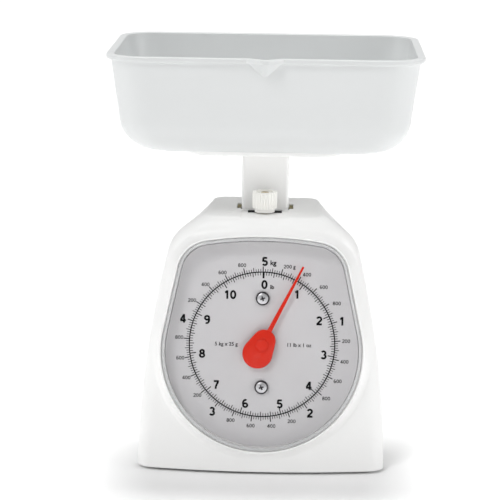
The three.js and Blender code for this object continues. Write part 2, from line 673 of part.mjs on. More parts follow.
function pointer() {
  const hub = turned([
    [0, HUB_BACK],
    [HUB_RADIUS, HUB_BACK],
    [HUB_RADIUS, HUB_FRONT - HUB_RISE * 0.7],
    [HUB_RADIUS * 0.75, HUB_FRONT - HUB_RISE * 0.2],
    [HUB_RADIUS * 0.35, HUB_FRONT],
    [0, HUB_FRONT],
  ]);
  const bore = rod(SPINDLE_RADIUS + CLEARANCE, HUB_BACK - OVERCUT, SPINDLE_FRONT + CLEARANCE);
  return cut(join(pointerTail(), needle(), hub), bore);
}

// Spindle with its pinion; a gap between two teeth faces the rack at rest
function pinion() {
  const root = PINION_RADIUS - TOOTH_ADDENDUM - TOOTH_ROOT_GAP;
  const tip = PINION_RADIUS + TOOTH_ADDENDUM;
  const pitch = (2 * Math.PI) / PINION_TEETH;
  const tooth = [
    [-TOOTH_ROOT_SHARE, root],
    [-PINION_TIP_SHARE, tip],
    [PINION_TIP_SHARE, tip],
    [TOOTH_ROOT_SHARE, root],
  ];
  const ring = (s) => {
    const points = [];
    for (let i = 0; i < PINION_TEETH; i += 1) {
      for (const [share, radius] of tooth) {
        const angle = (i + 0.5 + share) * pitch;
        points.push(new THREE.Vector3(radius * Math.cos(angle), radius * Math.sin(angle), s));
      }
    }
    return points;
  };
  const half = PINION_LENGTH / 2;
  return loft([ring(-PINION_SETBACK - half), ring(-PINION_SETBACK + half)]);
}

function spindle() {
  return join(rod(SPINDLE_RADIUS, BRIDGE_BACK, SPINDLE_FRONT), pinion());
}

function spindleBush() {
  const back = CHASSIS_FACE_BACK - CLEARANCE;
  const rim = BUSH_RADIUS + BUSH_FLANGE;
  const ring = turned([
    [0, back - BUSH_FLANGE],
    [rim, back - BUSH_FLANGE],
    [rim, back],
    [BUSH_RADIUS, back],
    [BUSH_RADIUS, CLEARANCE],
    [0, CLEARANCE],
  ]);
  return cut(ring, rod(SPINDLE_RADIUS + CLEARANCE, back - 2 * BUSH_FLANGE, CLEARANCE + OVERCUT));
}

// Bridge behind the chassis that holds the spindle's back end
const bridgeScrewU = BRIDGE_HALF_WIDTH + BRIDGE_EAR / 2;

function spindleBridge() {
  const half = BRIDGE_HEIGHT / 2;
  const foot = CHASSIS_FACE_BACK - CLEARANCE;
  const inner = BRIDGE_HALF_WIDTH - SHEET;
  const outer = BRIDGE_HALF_WIDTH + BRIDGE_EAR;
  const wide = BRIDGE_HALF_WIDTH;
  const back = block(-wide, wide, -half, half, BRIDGE_BACK, BRIDGE_BACK + SHEET);
  const legs = [
    block(-wide, -inner, -half, half, BRIDGE_BACK, foot),
    block(inner, wide, -half, half, BRIDGE_BACK, foot),
  ];
  const ears = [
    block(-outer, -inner, -half, half, foot - SHEET, foot),
    block(inner, outer, -half, half, foot - SHEET, foot),
  ];
  const bore = rod(SPINDLE_RADIUS + CLEARANCE, BRIDGE_BACK - OVERCUT, BRIDGE_BACK + SHEET + OVERCUT);
  const low = foot - SHEET - OVERCUT;
  const high = foot + OVERCUT;
  const holes = [-1, 1].map((sign) => rod(SCREW_HOLE, low, high, sign * bridgeScrewU, 0, 12));
  return cut(join(back, ...legs, ...ears), bore, ...holes);
}

function addIndicator() {
  const turningPointer = named('pointer', pointer(), RED);
  turningPointer.rotation.z = -REST_ANGLE;
  dial.add(turningPointer);
  dial.add(named('spindle', spindle(), STEEL));
  dial.add(named('spindle_bush', spindleBush(), BRASS));
  dial.add(named('spindle_bridge', spindleBridge(), PASSIVATED));
  for (const [hand, sign] of [['left', -1], ['right', 1]]) {
    const mesh = named(`bridge_screw_${hand}`, smallScrew(2 * SHEET + 2 * CLEARANCE), STEEL);
    mesh.position.set(sign * bridgeScrewU, 0, CHASSIS_FACE_BACK - SHEET - 2 * CLEARANCE);
    mesh.rotation.x = Math.PI;
    dial.add(mesh);
  }
}

// Chassis: one bent frame of sheet, bottom, back, top and the leaning front that carries the dial
const leverPivots = [['upper', UPPER_LEVER_Z], ['lower', LOWER_LEVER_Z]];

function chassisFront() {
  const half = CHASSIS_WIDTH / 2;
  const reach = BODY_TOP;
  const sheet = inDial(block(-half, half, -reach, reach, CHASSIS_FACE_BACK, CHASSIS_FACE));
  const slab = block(-half, half, -BODY_TOP, BODY_TOP, CHASSIS_BOTTOM, CHASSIS_TOP);
  return common(sheet, slab);
}

function faceAt(z) {
  return DIAL_Y + (z - DIAL_HEIGHT) * Math.tan(FACE_TILT) - CHASSIS_FACE_BACK / Math.cos(FACE_TILT);
}

function chassis() {
  const half = CHASSIS_WIDTH / 2;
  const back = CHASSIS_BACK + SHEET;
  const lowFront = faceAt(CHASSIS_BOTTOM) - SHEET / 2;
  const highFront = faceAt(CHASSIS_TOP) - SHEET / 2;
  const bottom = block(-half, half, lowFront, back, CHASSIS_BOTTOM, CHASSIS_BOTTOM + SHEET);
  const top = block(-half, half, highFront, back, CHASSIS_TOP - SHEET, CHASSIS_TOP);
  const rear = block(-half, half, CHASSIS_BACK, back, CHASSIS_BOTTOM, CHASSIS_TOP);
  const columnX = COLUMN_WIDTH / 2 + 2 * CLEARANCE;
  const columnY = COLUMN_DEPTH / 2 + 2 * CLEARANCE;
  const lugX = COLUMN_WIDTH / 2 + NOTCH_GAP - CLEARANCE;
  const lugY = COLUMN_DEPTH / 2 - WALL - CLEARANCE;
  const lugs = [
    block(-lugX, -columnX, -lugY, COLUMN_DEPTH / 2, CHASSIS_TOP - SHEET, CHASSIS_TOP + LUG_RISE),
    block(columnX, lugX, -lugY, COLUMN_DEPTH / 2, CHASSIS_TOP - SHEET, CHASSIS_TOP + LUG_RISE),
  ];
  const ears = [];
  const pinHoles = [];
  for (const [, z] of leverPivots) {
    for (const x of [-EAR_INNER_X - SHEET, EAR_INNER_X]) {
      const low = z - EAR_HEIGHT / 2;
      const front = LEVER_PIVOT_Y - EAR_HEIGHT / 2;
      ears.push(block(x, x + SHEET, front, CHASSIS_BACK + SHEET / 2, low, low + EAR_HEIGHT));
    }
    pinHoles.push(rodAlongX(PIN_RADIUS + CLEARANCE, -half, half, LEVER_PIVOT_Y, z));
  }
  const frame = join(chassisFront(), bottom, top, rear, ...lugs, ...ears);
  const columnHole = block(-columnX, columnX, -columnY, columnY, CHASSIS_TOP - 2 * SHEET, BODY_TOP);
  const zeroHole = rod(ZERO_SCREW_RADIUS + CLEARANCE, CHASSIS_TOP - 2 * SHEET, BODY_TOP, 0, ZERO_Y);
  const low = CHASSIS_BOTTOM - OVERCUT;
  const high = CHASSIS_BOTTOM + SHEET + OVERCUT;
  const screwHoles = chassisScrews.map(({ x, y }) => rod(SCREW_HOLE, low, high, x, y, 12));
  const faceHole = (radius, u, v) =>
    inDial(rod(radius, CHASSIS_FACE_BACK - OVERCUT, CHASSIS_FACE + OVERCUT, u, v, 16));
  const faceHoles = [
    faceHole(BUSH_RADIUS + CLEARANCE, 0, 0),
    faceHole(SCREW_HOLE, -bridgeScrewU, 0),
    faceHole(SCREW_HOLE, bridgeScrewU, 0),
    ...dialScrewPlaces.map(([, v]) => faceHole(DIAL_SCREW_RADIUS + CLEARANCE, 0, v)),
  ];
  return cut(frame, columnHole, zeroHole, ...screwHoles, ...faceHoles, ...pinHoles);
}

// Levers: two arms and a web; the front end's hole is a slot, as the end swings on an arc
function lever() {
  const half = LEVER_HEIGHT / 2;
  const outline = new THREE.Shape();
  outline.absarc(0, 0, half, -Math.PI / 2, Math.PI / 2, false);
  outline.absarc(-LEVER_LENGTH, 0, half, Math.PI / 2, (3 * Math.PI) / 2, false);
  const arm = new THREE.ExtrudeGeometry(outline, { depth: SHEET, bevelEnabled: false, curveSegments: 6 });
  const sideways = new THREE.Matrix4().makeBasis(
    new THREE.Vector3(0, 1, 0),
    new THREE.Vector3(0, 0, 1),
    new THREE.Vector3(1, 0, 0),
  );
  arm.applyMatrix4(sideways);
  const left = arm.clone().translate(-ARM_OUTER_X, 0, 0);
  const right = arm.clone().translate(ARM_INNER_X, 0, 0);
  const webFront = -(LEVER_PIVOT_Y - COLUMN_DEPTH / 2 + LEVER_WEB) / 2;
  const web = block(-ARM_OUTER_X, ARM_OUTER_X, webFront, webFront + LEVER_WEB, -half, SHEET - half);
  const hole = PIN_RADIUS + CLEARANCE;
  const reach = ARM_OUTER_X + OVERCUT;
  const slotFront = -LEVER_LENGTH - LEVER_SLOT_FRONT;
  const slotBack = -LEVER_LENGTH + LEVER_SLOT_BACK;
  return cut(
    join(left, right, web),
    rodAlongX(hole, -reach, reach, 0, 0),
    rodAlongX(hole, -reach, reach, slotFront, 0),
    rodAlongX(hole, -reach, reach, slotBack, 0),
    block(-reach, reach, slotFront, slotBack, -hole, hole),
  );
}

function addLevers() {
  for (const [place, z] of leverPivots) {
    const mesh = named(`${place}_lever`, lever(), PASSIVATED);
    mesh.position.set(0, LEVER_PIVOT_Y, z);
    mesh.rotation.x = -LEVER_ANGLE;
    scale.add(mesh);
    const fixed = EAR_INNER_X + SHEET + PIN_END;
    const fixedPin = rodAlongX(PIN_RADIUS, -fixed, fixed, LEVER_PIVOT_Y, z);
    scale.add(named(`${place}_lever_fixed_pin`, fixedPin, STEEL));
    const moving = ARM_OUTER_X + PIN_END;
    const movingPin = rodAlongX(PIN_RADIUS, -moving, moving, LEVER_END_Y, z + LEVER_END_RISE);
    scale.add(named(`${place}_lever_moving_pin`, movingPin, STEEL));
  }
}

// Column: hollow post with two screw bosses, open at the bottom
function column() {
  const outer = (z) => roundedRing(COLUMN_WIDTH / 2, COLUMN_DEPTH / 2, COLUMN_CORNER, z, 4);
  const innerX = COLUMN_WIDTH / 2 - COLUMN_WALL;
  const innerY = COLUMN_DEPTH / 2 - COLUMN_WALL;
  const inner = (z) => roundedRing(innerX, innerY, COLUMN_INNER_CORNER, z, 4);
  const post = loft([outer(COLUMN_BOTTOM), outer(PLATFORM_Z)]);
  const ceiling = PLATFORM_Z - COLUMN_CAP;
  const below = COLUMN_BOTTOM - OVERCUT;
  const bosses = [-1, 1].map((sign) =>
    rod(COLUMN_BOSS_RADIUS, below - OVERCUT, ceiling + OVERCUT, sign * COLUMN_BOSS_X, 0));
  const cavity = cut(loft([inner(below), inner(ceiling)]), ...bosses);
  const holes = [-1, 1].flatMap((sign) => [
    rod(SCREW_HOLE, below, COLUMN_BOTTOM + SCREW_GRIP + OVERCUT, sign * COLUMN_BOSS_X, 0, 12),
    rod(SCREW_HOLE, PLATFORM_Z - SCREW_GRIP - OVERCUT, PLATFORM_Z + OVERCUT, sign * COLUMN_BOSS_X, 0, 12),
  ]);
  return cut(post, cavity, ...holes);
}

const rackMiddleX = PINION_RADIUS + TOOTH_ADDENDUM + CLEARANCE + RACK_WIDTH / 2;
const rackScrewZ = RACK_ARM_Z + RACK_ARM_HEIGHT / 2;

function columnBracket() {
  const half = BRACKET_HALF_WIDTH;
  const inner = half - SHEET;
  const top = block(-half, half, BRACKET_FRONT, -BRACKET_FRONT, BRACKET_TOP - SHEET, BRACKET_TOP);
  const cheeks = [
    block(-half, -inner, BRACKET_FRONT, BRACKET_BACK, BRACKET_BOTTOM, BRACKET_TOP),
    block(inner, half, BRACKET_FRONT, BRACKET_BACK, BRACKET_BOTTOM, BRACKET_TOP),
  ];
  const webBottom = RACK_ARM_Z - BRACKET_WEB_TAIL;
  const web = block(-half, half, BRACKET_FRONT - SHEET, BRACKET_FRONT, webBottom, BRACKET_TOP);
  const arms = [
    block(-half, -inner, SPRING_BAR_FRONT, BRACKET_BACK, SPRING_BAR_Z - SPRING_BAR_HEIGHT, SPRING_BAR_TOP),
    block(inner, half, SPRING_BAR_FRONT, BRACKET_BACK, SPRING_BAR_Z - SPRING_BAR_HEIGHT, SPRING_BAR_TOP),
  ];
  const reach = SPRING_BAR_HALF;
  const barBack = SPRING_BAR_FRONT + SPRING_BAR_DEPTH;
  const bar = block(-reach, reach, SPRING_BAR_FRONT, barBack, SPRING_BAR_Z, SPRING_BAR_TOP);
  const pinHoles = leverPivots.map(([, z]) =>
    rodAlongX(PIN_RADIUS + CLEARANCE, -half - OVERCUT, half + OVERCUT, LEVER_END_Y, z + LEVER_END_RISE));
  const screwHoles = [-1, 1].map((sign) =>
    rod(SCREW_HOLE, BRACKET_TOP - 2 * SHEET, BRACKET_TOP + OVERCUT, sign * COLUMN_BOSS_X, 0, 12));
  const webFront = BRACKET_FRONT - SHEET - OVERCUT;
  const rackHole = rodAlongY(SCREW_HOLE, webFront, BRACKET_FRONT + OVERCUT, rackMiddleX, rackScrewZ);
  return cut(join(top, ...cheeks, web, ...arms, bar), ...pinHoles, ...screwHoles, rackHole);
}

// Rack: teeth cut along the spindle's direction, and an arm back to the bracket
function rackTeeth() {
  const pitch = (Math.PI * TOOTH_MODULE) / Math.cos(FACE_TILT);
  const tip = PINION_RADIUS - TOOTH_ADDENDUM;
  const root = PINION_RADIUS + TOOTH_ADDENDUM + CLEARANCE;
  const back = root + RACK_WIDTH;
  const below = Math.ceil((REST_TRAVEL + RACK_SPARE) / pitch);
  const above = Math.ceil((FULL_TRAVEL - REST_TRAVEL + RACK_SPARE) / pitch);
  const outline = new THREE.Shape();
  outline.moveTo(back, -(below + 0.5) * pitch);
  outline.lineTo(back, RACK_ARM_TOP - PINION_Z);
  outline.lineTo(root, RACK_ARM_TOP - PINION_Z);
  for (let i = above; i >= -below; i -= 1) {
    const middle = i * pitch;
    outline.lineTo(root, middle + TOOTH_ROOT_SHARE * pitch);
    outline.lineTo(tip, middle + RACK_TIP_SHARE * pitch);
    outline.lineTo(tip, middle - RACK_TIP_SHARE * pitch);
    outline.lineTo(root, middle - TOOTH_ROOT_SHARE * pitch);
  }
  outline.lineTo(root, -(below + 0.5) * pitch);
  const bar = new THREE.ExtrudeGeometry(outline, { depth: RACK_DEPTH, bevelEnabled: false });
  bar.translate(0, 0, -RACK_DEPTH / 2);
  const upright = new THREE.Matrix4().makeBasis(
    new THREE.Vector3(1, 0, 0),
    new THREE.Vector3(0, 0, 1),
    new THREE.Vector3(0, -1, Math.tan(FACE_TILT)),
  );
  return bar.applyMatrix4(upright).translate(0, PINION_Y, PINION_Z);
}

function rack() {
  const left = rackMiddleX - RACK_WIDTH / 2 + CLEARANCE;
  const right = rackMiddleX + RACK_WIDTH / 2 - CLEARANCE;
  const seat = BRACKET_FRONT - SHEET;
  const low = RACK_ARM_Z + CLEARANCE;
  const high = RACK_ARM_TOP - CLEARANCE;
  const arm = block(left, right, PINION_Y, seat, low, high);
  const hole = rodAlongY(SCREW_HOLE, seat - SCREW_GRIP - OVERCUT, seat + OVERCUT, rackMiddleX, rackScrewZ);
  return cut(join(rackTeeth(), arm), hole);
}

function addCarriage() {
  scale.add(named('column', column(), WHITE));
  scale.add(named('column_bracket', columnBracket(), PASSIVATED));
  scale.add(named('rack', rack(), BRASS));
  const rackScrew = named('rack_screw', smallScrew(SHEET + SCREW_GRIP), STEEL);
  rackScrew.position.set(rackMiddleX, BRACKET_FRONT, rackScrewZ);
  rackScrew.rotation.x = -Math.PI / 2;
  scale.add(rackScrew);
  for (const [hand, sign] of [['left', -1], ['right', 1]]) {
    const columnScrew = named(`column_screw_${hand}`, smallScrew(SHEET + SCREW_GRIP), STEEL);
    columnScrew.position.set(sign * COLUMN_BOSS_X, 0, BRACKET_TOP - SHEET);
    columnScrew.rotation.x = Math.PI;
    scale.add(columnScrew);
  }
}

// Zero adjuster: ribbed knob on a brass screw, and the hanger that rides on the screw's thread
function zeroKnob() {
  const ring = (z) => {
    const points = [];
    const pitch = (2 * Math.PI) / KNOB_RIBS;
    for (let i = 0; i < KNOB_RIBS; i += 1) {
      for (const [share, depth] of [[0, 0], [0.5, KNOB_RIB_DEPTH]]) {
        const angle = (i + share) * pitch;
        const radius = KNOB_RADIUS - depth;
        points.push(new THREE.Vector3(radius * Math.cos(angle), radius * Math.sin(angle), z));
      }
    }
    return points;
  };
  const grip = loft([ring(KNOB_Z), ring(KNOB_TOP)]);
  const collar = rod(COLLAR_RADIUS, BODY_TOP + CLEARANCE, KNOB_Z + OVERCUT);
  const bore = ZERO_SCREW_RADIUS + CLEARANCE;
  return cut(
    join(grip, collar),
    rod(bore, BODY_TOP, KNOB_TOP),
    rod(bore + CLEARANCE, KNOB_TOP - KNOB_HOLLOW, KNOB_TOP + OVERCUT),
  );
}

function springHanger() {
  const half = SPRING_BAR_HALF;
  const front = ZERO_Y - HANGER_DEPTH / 2;
  const bar = block(-half, half, front, front + HANGER_DEPTH, HANGER_Z, HANGER_Z + HANGER_HEIGHT);
  const low = HANGER_Z - OVERCUT;
  const high = HANGER_Z + HANGER_HEIGHT + OVERCUT;
  const thread = rod(ZERO_SCREW_RADIUS + CLEARANCE, low, high, 0, ZERO_Y);
  return cut(bar, thread);
}

// Centre line of a main spring: a straight lead, the turns, and a straight lead
class SpringLine extends THREE.Curve {
  getPoint(share, target = new THREE.Vector3()) {
    const low = SPRING_BAR_TOP + CLEARANCE;
    const high = HANGER_Z - CLEARANCE;
    const z = low + (high - low) * share;
    const coilLow = low + SPRING_LEAD;
    const coilHigh = high - SPRING_LEAD;
    const turn = THREE.MathUtils.clamp((z - coilLow) / (coilHigh - coilLow), 0, 1) * SPRING_TURNS;
    const opening = THREE.MathUtils.smoothstep(Math.min(turn, SPRING_TURNS - turn), 0, 1);
    const radius = (SPRING_RADIUS - SPRING_WIRE / 2) * opening;
    const angle = turn * 2 * Math.PI;
    return target.set(radius * Math.cos(angle), radius * Math.sin(angle), z);
  }
}

function mainSpring() {
  const section = new THREE.Shape();
  section.absarc(0, 0, SPRING_WIRE / 2, 0, 2 * Math.PI, false);
  return new THREE.ExtrudeGeometry(section, {
    extrudePath: new SpringLine(),
    steps: SPRING_TURNS * SPRING_STEPS,
    curveSegments: 3,
    bevelEnabled: false,
  });
}

function addZeroAndSprings() {
  const knob = named('zero_knob', zeroKnob(), IVORY);
  const zeroScrew = rod(ZERO_SCREW_RADIUS, ZERO_SCREW_BOTTOM, KNOB_TOP - KNOB_HOLLOW, 0, ZERO_Y);
  knob.position.set(0, ZERO_Y, 0);
  scale.add(knob);
  scale.add(named('zero_screw', zeroScrew, BRASS));
  scale.add(named('spring_hanger', springHanger(), STEEL));
  for (const [hand, sign] of [['left', -1], ['right', 1]]) {
    const spring = named(`main_spring_${hand}`, mainSpring(), STEEL);
    spring.position.set(sign * SPRING_X, ZERO_Y, 0);
    scale.add(spring);
  }
}

// Platform on the column, held by two sunk screws
function platform() {
  const ring = (inset, z) =>
    roundedRing(PLATFORM_WIDTH / 2 - inset, PLATFORM_DEPTH / 2 - inset, PLATFORM_CORNER - inset, z);
  const rings = [ring(PLATFORM_EDGE, PLATFORM_Z), ring(0, PLATFORM_Z + PLATFORM_EDGE), ring(0, TRAY_Z)];
  const plate = loft(rings);
  const sink = TRAY_Z - SCREW_HEAD_HEIGHT - CLEARANCE;
  const holes = [-1, 1].flatMap((sign) => [
    rod(SCREW_HEAD_RADIUS + CLEARANCE, sink, TRAY_Z + OVERCUT, sign * COLUMN_BOSS_X, 0),
    rod(SCREW_HOLE, PLATFORM_Z - OVERCUT, TRAY_Z, sign * COLUMN_BOSS_X, 0, 12),
  ]);
  return cut(plate, ...holes);
}

// Tray: one moulding with a lip all round and a pouring spout in the front
function spoutShare(z) {
  const full = TRAY_Z + TRAY_HEIGHT - LIP_SOFT;
  const start = TRAY_Z + TRAY_HEIGHT - LIP_HEIGHT - SPOUT_DROP;
  return THREE.MathUtils.clamp((z - start) / (full - start), 0, 1);
}

function trayRing(inset, z) {
  const halfX = TRAY_WIDTH / 2 - LIP_WIDTH - inset;
  const halfY = TRAY_DEPTH / 2 - LIP_WIDTH - inset;
  const radius = TRAY_CORNER - LIP_WIDTH - inset * TRAY_CORNER_SHRINK;
  const plain = roundedRing(halfX, halfY, radius, z, 6);
  const share = spoutShare(z);
  const spread = (SPOUT_WIDTH / 2) * Math.max(share, SPOUT_ROOT);
  const spout = [-1, -0.5, 0, 0.5, 1].map((across) =>
    new THREE.Vector3(across * spread, -halfY - SPOUT_REACH * share * (1 - Math.abs(across)), z));
  return [...plain, ...spout];
}

function tray() {
  const rim = TRAY_Z + TRAY_HEIGHT;
  const underLip = rim - LIP_HEIGHT;
  const footSteps = 5;
  const foot = (wall) => Array.from({ length: footSteps + 1 }, (_, i) => {
    const angle = (Math.PI / 2) * (1 - i / footSteps);
    const radius = TRAY_FOOT_RADIUS - wall;
    const inset = TRAY_DRAFT + TRAY_FOOT_RADIUS - radius * Math.cos(angle);
    return trayRing(inset, TRAY_Z + TRAY_FOOT_RADIUS - radius * Math.sin(angle));
  });
  const spoutStart = underLip - SPOUT_DROP;
  const footTop = TRAY_Z + TRAY_FOOT_RADIUS;
  const draftAt = (z) => (TRAY_DRAFT * (underLip - z)) / (underLip - footTop);
  return loft([
    ...foot(0),
    trayRing(draftAt(spoutStart), spoutStart),
    trayRing(0, underLip),
    trayRing(-LIP_WIDTH, underLip + LIP_SOFT),
    trayRing(-LIP_WIDTH, rim - LIP_SOFT),
    trayRing(LIP_SOFT - LIP_WIDTH, rim),
    trayRing(TRAY_WALL - LIP_SOFT, rim),
    trayRing(TRAY_WALL, rim - LIP_SOFT),
    trayRing(TRAY_WALL, underLip),
    trayRing(TRAY_WALL + draftAt(spoutStart), spoutStart),
    ...foot(TRAY_WALL).reverse(),
  ]);
}

function addPan() {
  scale.add(named('platform', platform(), WHITE));
  for (const [hand, sign] of [['left', -1], ['right', 1]]) {
    const mesh = named(`platform_screw_${hand}`, smallScrew(), STEEL);
    mesh.position.set(sign * COLUMN_BOSS_X, 0, TRAY_Z - SCREW_HEAD_HEIGHT - CLEARANCE);
    scale.add(mesh);
  }
  scale.add(named('tray', tray(), TRAY_WHITE));
}

addBase();
addFront();
addIndicator();
scale.add(named('chassis', chassis(), PASSIVATED));
addLevers();
addCarriage();
addZeroAndSprings();
addPan();

// The spout makes the front longer than the back, so the scale moves back to stay centred.
scale.position.y = SPOUT_REACH / 2;

const root = new THREE.Group();
root.name = 'platform_scale';
root.add(scale);

export default root;
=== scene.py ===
"""A mechanical dial scale with a lift-off tray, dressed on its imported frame."""
import math
from contextlib import contextmanager

import bmesh
import bpy
from mathutils import Matrix, Vector


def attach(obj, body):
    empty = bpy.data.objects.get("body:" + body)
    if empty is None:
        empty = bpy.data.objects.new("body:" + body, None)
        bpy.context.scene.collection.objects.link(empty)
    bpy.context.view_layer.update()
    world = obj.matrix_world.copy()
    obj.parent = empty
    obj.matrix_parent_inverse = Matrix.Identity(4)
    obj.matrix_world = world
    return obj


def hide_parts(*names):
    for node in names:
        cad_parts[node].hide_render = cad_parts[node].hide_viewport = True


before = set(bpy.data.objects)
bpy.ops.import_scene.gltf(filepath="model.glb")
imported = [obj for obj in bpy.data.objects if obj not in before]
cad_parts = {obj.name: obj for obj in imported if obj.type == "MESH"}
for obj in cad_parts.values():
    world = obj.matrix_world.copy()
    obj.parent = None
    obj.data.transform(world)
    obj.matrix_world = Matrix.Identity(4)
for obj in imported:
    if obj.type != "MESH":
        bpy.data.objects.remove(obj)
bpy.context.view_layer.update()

# Camera: a long lens on a stand a little above the scale and to its right.
# The photograph leans slightly clockwise, and so does the camera.
MM = 0.001
camera_aim = Vector((-10.0, 3.0, 138.6)) * MM
camera_turn = math.radians(1.5)
camera_rise = math.radians(11.8)
camera_roll = math.radians(0.72)
camera_distance = 1.497
bpy.ops.object.camera_add()
camera = bpy.context.object
camera.data.sensor_width = 36.0
camera.data.lens = 158.4
camera.matrix_world = (
    Matrix.Translation(camera_aim)
    @ Matrix.Rotation(camera_turn, 4, "Z")
    @ Matrix.Rotation(math.pi / 2 - camera_rise, 4, "X")
    @ Matrix.Translation((0, 0, camera_distance))
    @ Matrix.Rotation(camera_roll, 4, "Z")
)
bpy.context.scene.camera = camera


# Studio: a plain white floor under a broad light overhead, a weaker one from the front and a
# soft light on either side. None of it belongs to the scale.
class Wire:
    """A value in a finish's node tree; arithmetic on it adds Math nodes."""

    def __init__(self, tree, socket):
        self.tree = tree
        self.socket = socket

    def _math(self, operation, first, second):
        made = self.tree.nodes.new("ShaderNodeMath")
        made.operation = operation
        for socket, value in zip(made.inputs, (first, second)):
            join_socket(self.tree, value, socket)
        return Wire(self.tree, made.outputs[0])

    def __add__(self, other):
        return self._math("ADD", self, other)

    def __mul__(self, other):
        return self._math("MULTIPLY", self, other)

    __radd__ = __add__
    __rmul__ = __mul__


def join_socket(tree, value, socket):
    """Links a wire to a socket, or sets the socket to a plain value."""
    if isinstance(value, Wire):
        tree.links.new(value.socket, socket)
    else:
        socket.default_value = value


class Finish:
    """A material: its shader's constants are set here, what varies over the surface by vary."""

    def __init__(self, name, colour, roughness, **constants):
        self.material = bpy.data.materials.new(name)
        self.material.use_nodes = True
        self.tree = self.material.node_tree
        self.shader = self.tree.nodes["Principled BSDF"]
        self.vary(Base_Color=colour, Roughness=roughness, **constants)
        self.place = self.node("ShaderNodeTexCoord", output="Object")

    def node(self, kind, settings=None, inputs=None, output=0):
        made = self.tree.nodes.new(kind)
        for key, value in (settings or {}).items():
            setattr(made, key, value)
        for key, value in (inputs or {}).items():
            join_socket(self.tree, value, made.inputs[key])
        return Wire(self.tree, made.outputs[output])

    def vary(self, **sockets):
        for name, value in sockets.items():
            join_socket(self.tree, value, self.shader.inputs[name.replace("_", " ")])

    def noise(self, scale, detail=3.0):
        inputs = {"Vector": self.place, "Scale": scale, "Detail": detail}
        return self.node("ShaderNodeTexNoise", None, inputs)

    def between(self, share, first, second):
        """A colour that goes from first to second with share."""
        return self.node("ShaderNodeMix", {"data_type": "RGBA"}, {0: share, 6: first, 7: second}, 2)

    def bump(self, height, strength, distance):
        inputs = {"Height": height, "Strength": strength, "Distance": distance}
        self.vary(Normal=self.node("ShaderNodeBump", None, inputs))


def shade(red, green, blue):
    """A screen colour, 0 to 255, as a linear one."""
    linear = []
    for part in (red / 255, green / 255, blue / 255):
        linear.append(part / 12.92 if part <= 0.04045 else ((part + 0.055) / 1.055) ** 2.4)
    return linear + [1.0]


FLOOR_SIZE = 14.0
AIR_STRENGTH = 0.32
bpy.ops.object.select_all(action="DESELECT")
bpy.ops.mesh.primitive_plane_add(size=FLOOR_SIZE)
floor = bpy.context.object
floor.name = "studio_floor"
floor_paint = Finish("floor_paint", shade(253, 253, 253), 0.8)
floor_paint.vary(Roughness=floor_paint.noise(40.0) * 0.1 + 0.75)
floor.data.materials.append(floor_paint.material)


def soft_light(name, place, size, power):
    bpy.ops.object.light_add(type="AREA", location=place)
    light = bpy.context.object
    light.name = name
    light.data.size = size
    light.data.energy = power
    light.rotation_euler = (camera_aim - Vector(place)).to_track_quat("-Z", "Y").to_euler()


def broad_light(name, lean, turn, strength, breadth):
    """Even light from far away, leaning towards the camera and turned to a side, in degrees."""
    turned = (math.radians(lean), 0, math.radians(turn))
    bpy.ops.object.light_add(type="SUN", rotation=turned)
    light = bpy.context.object
    light.name = name
    light.data.energy = strength
    light.data.angle = math.radians(breadth)


soft_light("left_light", place=(-1.5, -0.4, 0.6), size=0.8, power=3.0)
soft_light("right_light", place=(1.5, -0.4, 0.6), size=0.8, power=6.4)
broad_light("overhead_light", lean=-11.0, turn=0.0, strength=2.05, breadth=15.0)
broad_light("front_light", lean=44.0, turn=-34.0, strength=0.88, breadth=20.0)
world = bpy.data.worlds.new("studio_air")
world.use_nodes = True
air = world.node_tree.nodes["Background"].inputs
air["Color"].default_value = (1.0, 1.0, 1.0, 1.0)
air["Strength"].default_value = AIR_STRENGTH
bpy.context.scene.world = world
bpy.context.scene.view_settings.view_transform = "Standard"


# Feet: four round rubber feet, moulded with a rounded edge and a shallow dish underneath,
# pressed on the base plate near its corners.
@contextmanager
def editing(piece):
    """Edit mode on one piece, with nothing of it selected."""
    bpy.ops.object.select_all(action="DESELECT")
    bpy.context.view_layer.objects.active = piece
    piece.select_set(True)
    bpy.ops.object.mode_set(mode="EDIT")
    bpy.ops.mesh.select_all(action="DESELECT")
    yield
    bpy.ops.object.mode_set(mode="OBJECT")


def pick(kind, test):
    """Selects the verts, edges or faces under edit that pass a test."""
    mesh = bpy.context.edit_object.data
    modes = [kind == each for each in ("verts", "edges", "faces")]
    bpy.context.tool_settings.mesh_select_mode = modes
    bpy.ops.mesh.select_all(action="DESELECT")
    shape = bmesh.from_edit_mesh(mesh)
    shape.normal_update()
    for part in getattr(shape, kind):
        if test(part):
            part.select_set(True)
    shape.select_flush_mode()
    bmesh.update_edit_mesh(mesh)


def add(primitive, name, place=(0, 0, 0), stretch=(1, 1, 1), **settings):
    """A primitive at its place and size in mm, with both in its mesh."""
    bpy.ops.object.select_all(action="DESELECT")
    getattr(bpy.ops.mesh, f"primitive_{primitive}_add")(**settings)
    piece = bpy.context.object
    piece.name = name
    piece.scale = Vector(stretch) * MM
    piece.location = Vector(place) * MM
    bpy.ops.object.transform_apply()
    return piece


def move(z):
    """Moves what is selected up by a height in mm."""
    bpy.ops.transform.translate(value=(0, 0, z * MM))


def inset(thickness):
    bpy.ops.mesh.inset(thickness=thickness * MM, use_even_offset=True)


def bevel(width, segments, affect="EDGES"):
    bpy.ops.mesh.bevel(offset=width * MM, segments=segments, affect=affect, clamp_overlap=True)


def flat_at(z):
    """A test for the level faces at a height in mm."""
    return lambda face: abs(face.normal.z) > 0.9 and abs(face.calc_center_median().z / MM - z) < 0.05


def rim_at(z, radius=0.0):
    """A test for edges that lie at a height, outside a radius, in mm."""
    return lambda edge: all(
        abs(vert.co.z / MM - z) < 0.02 and vert.co.xy.length / MM > radius for vert in edge.verts
    )


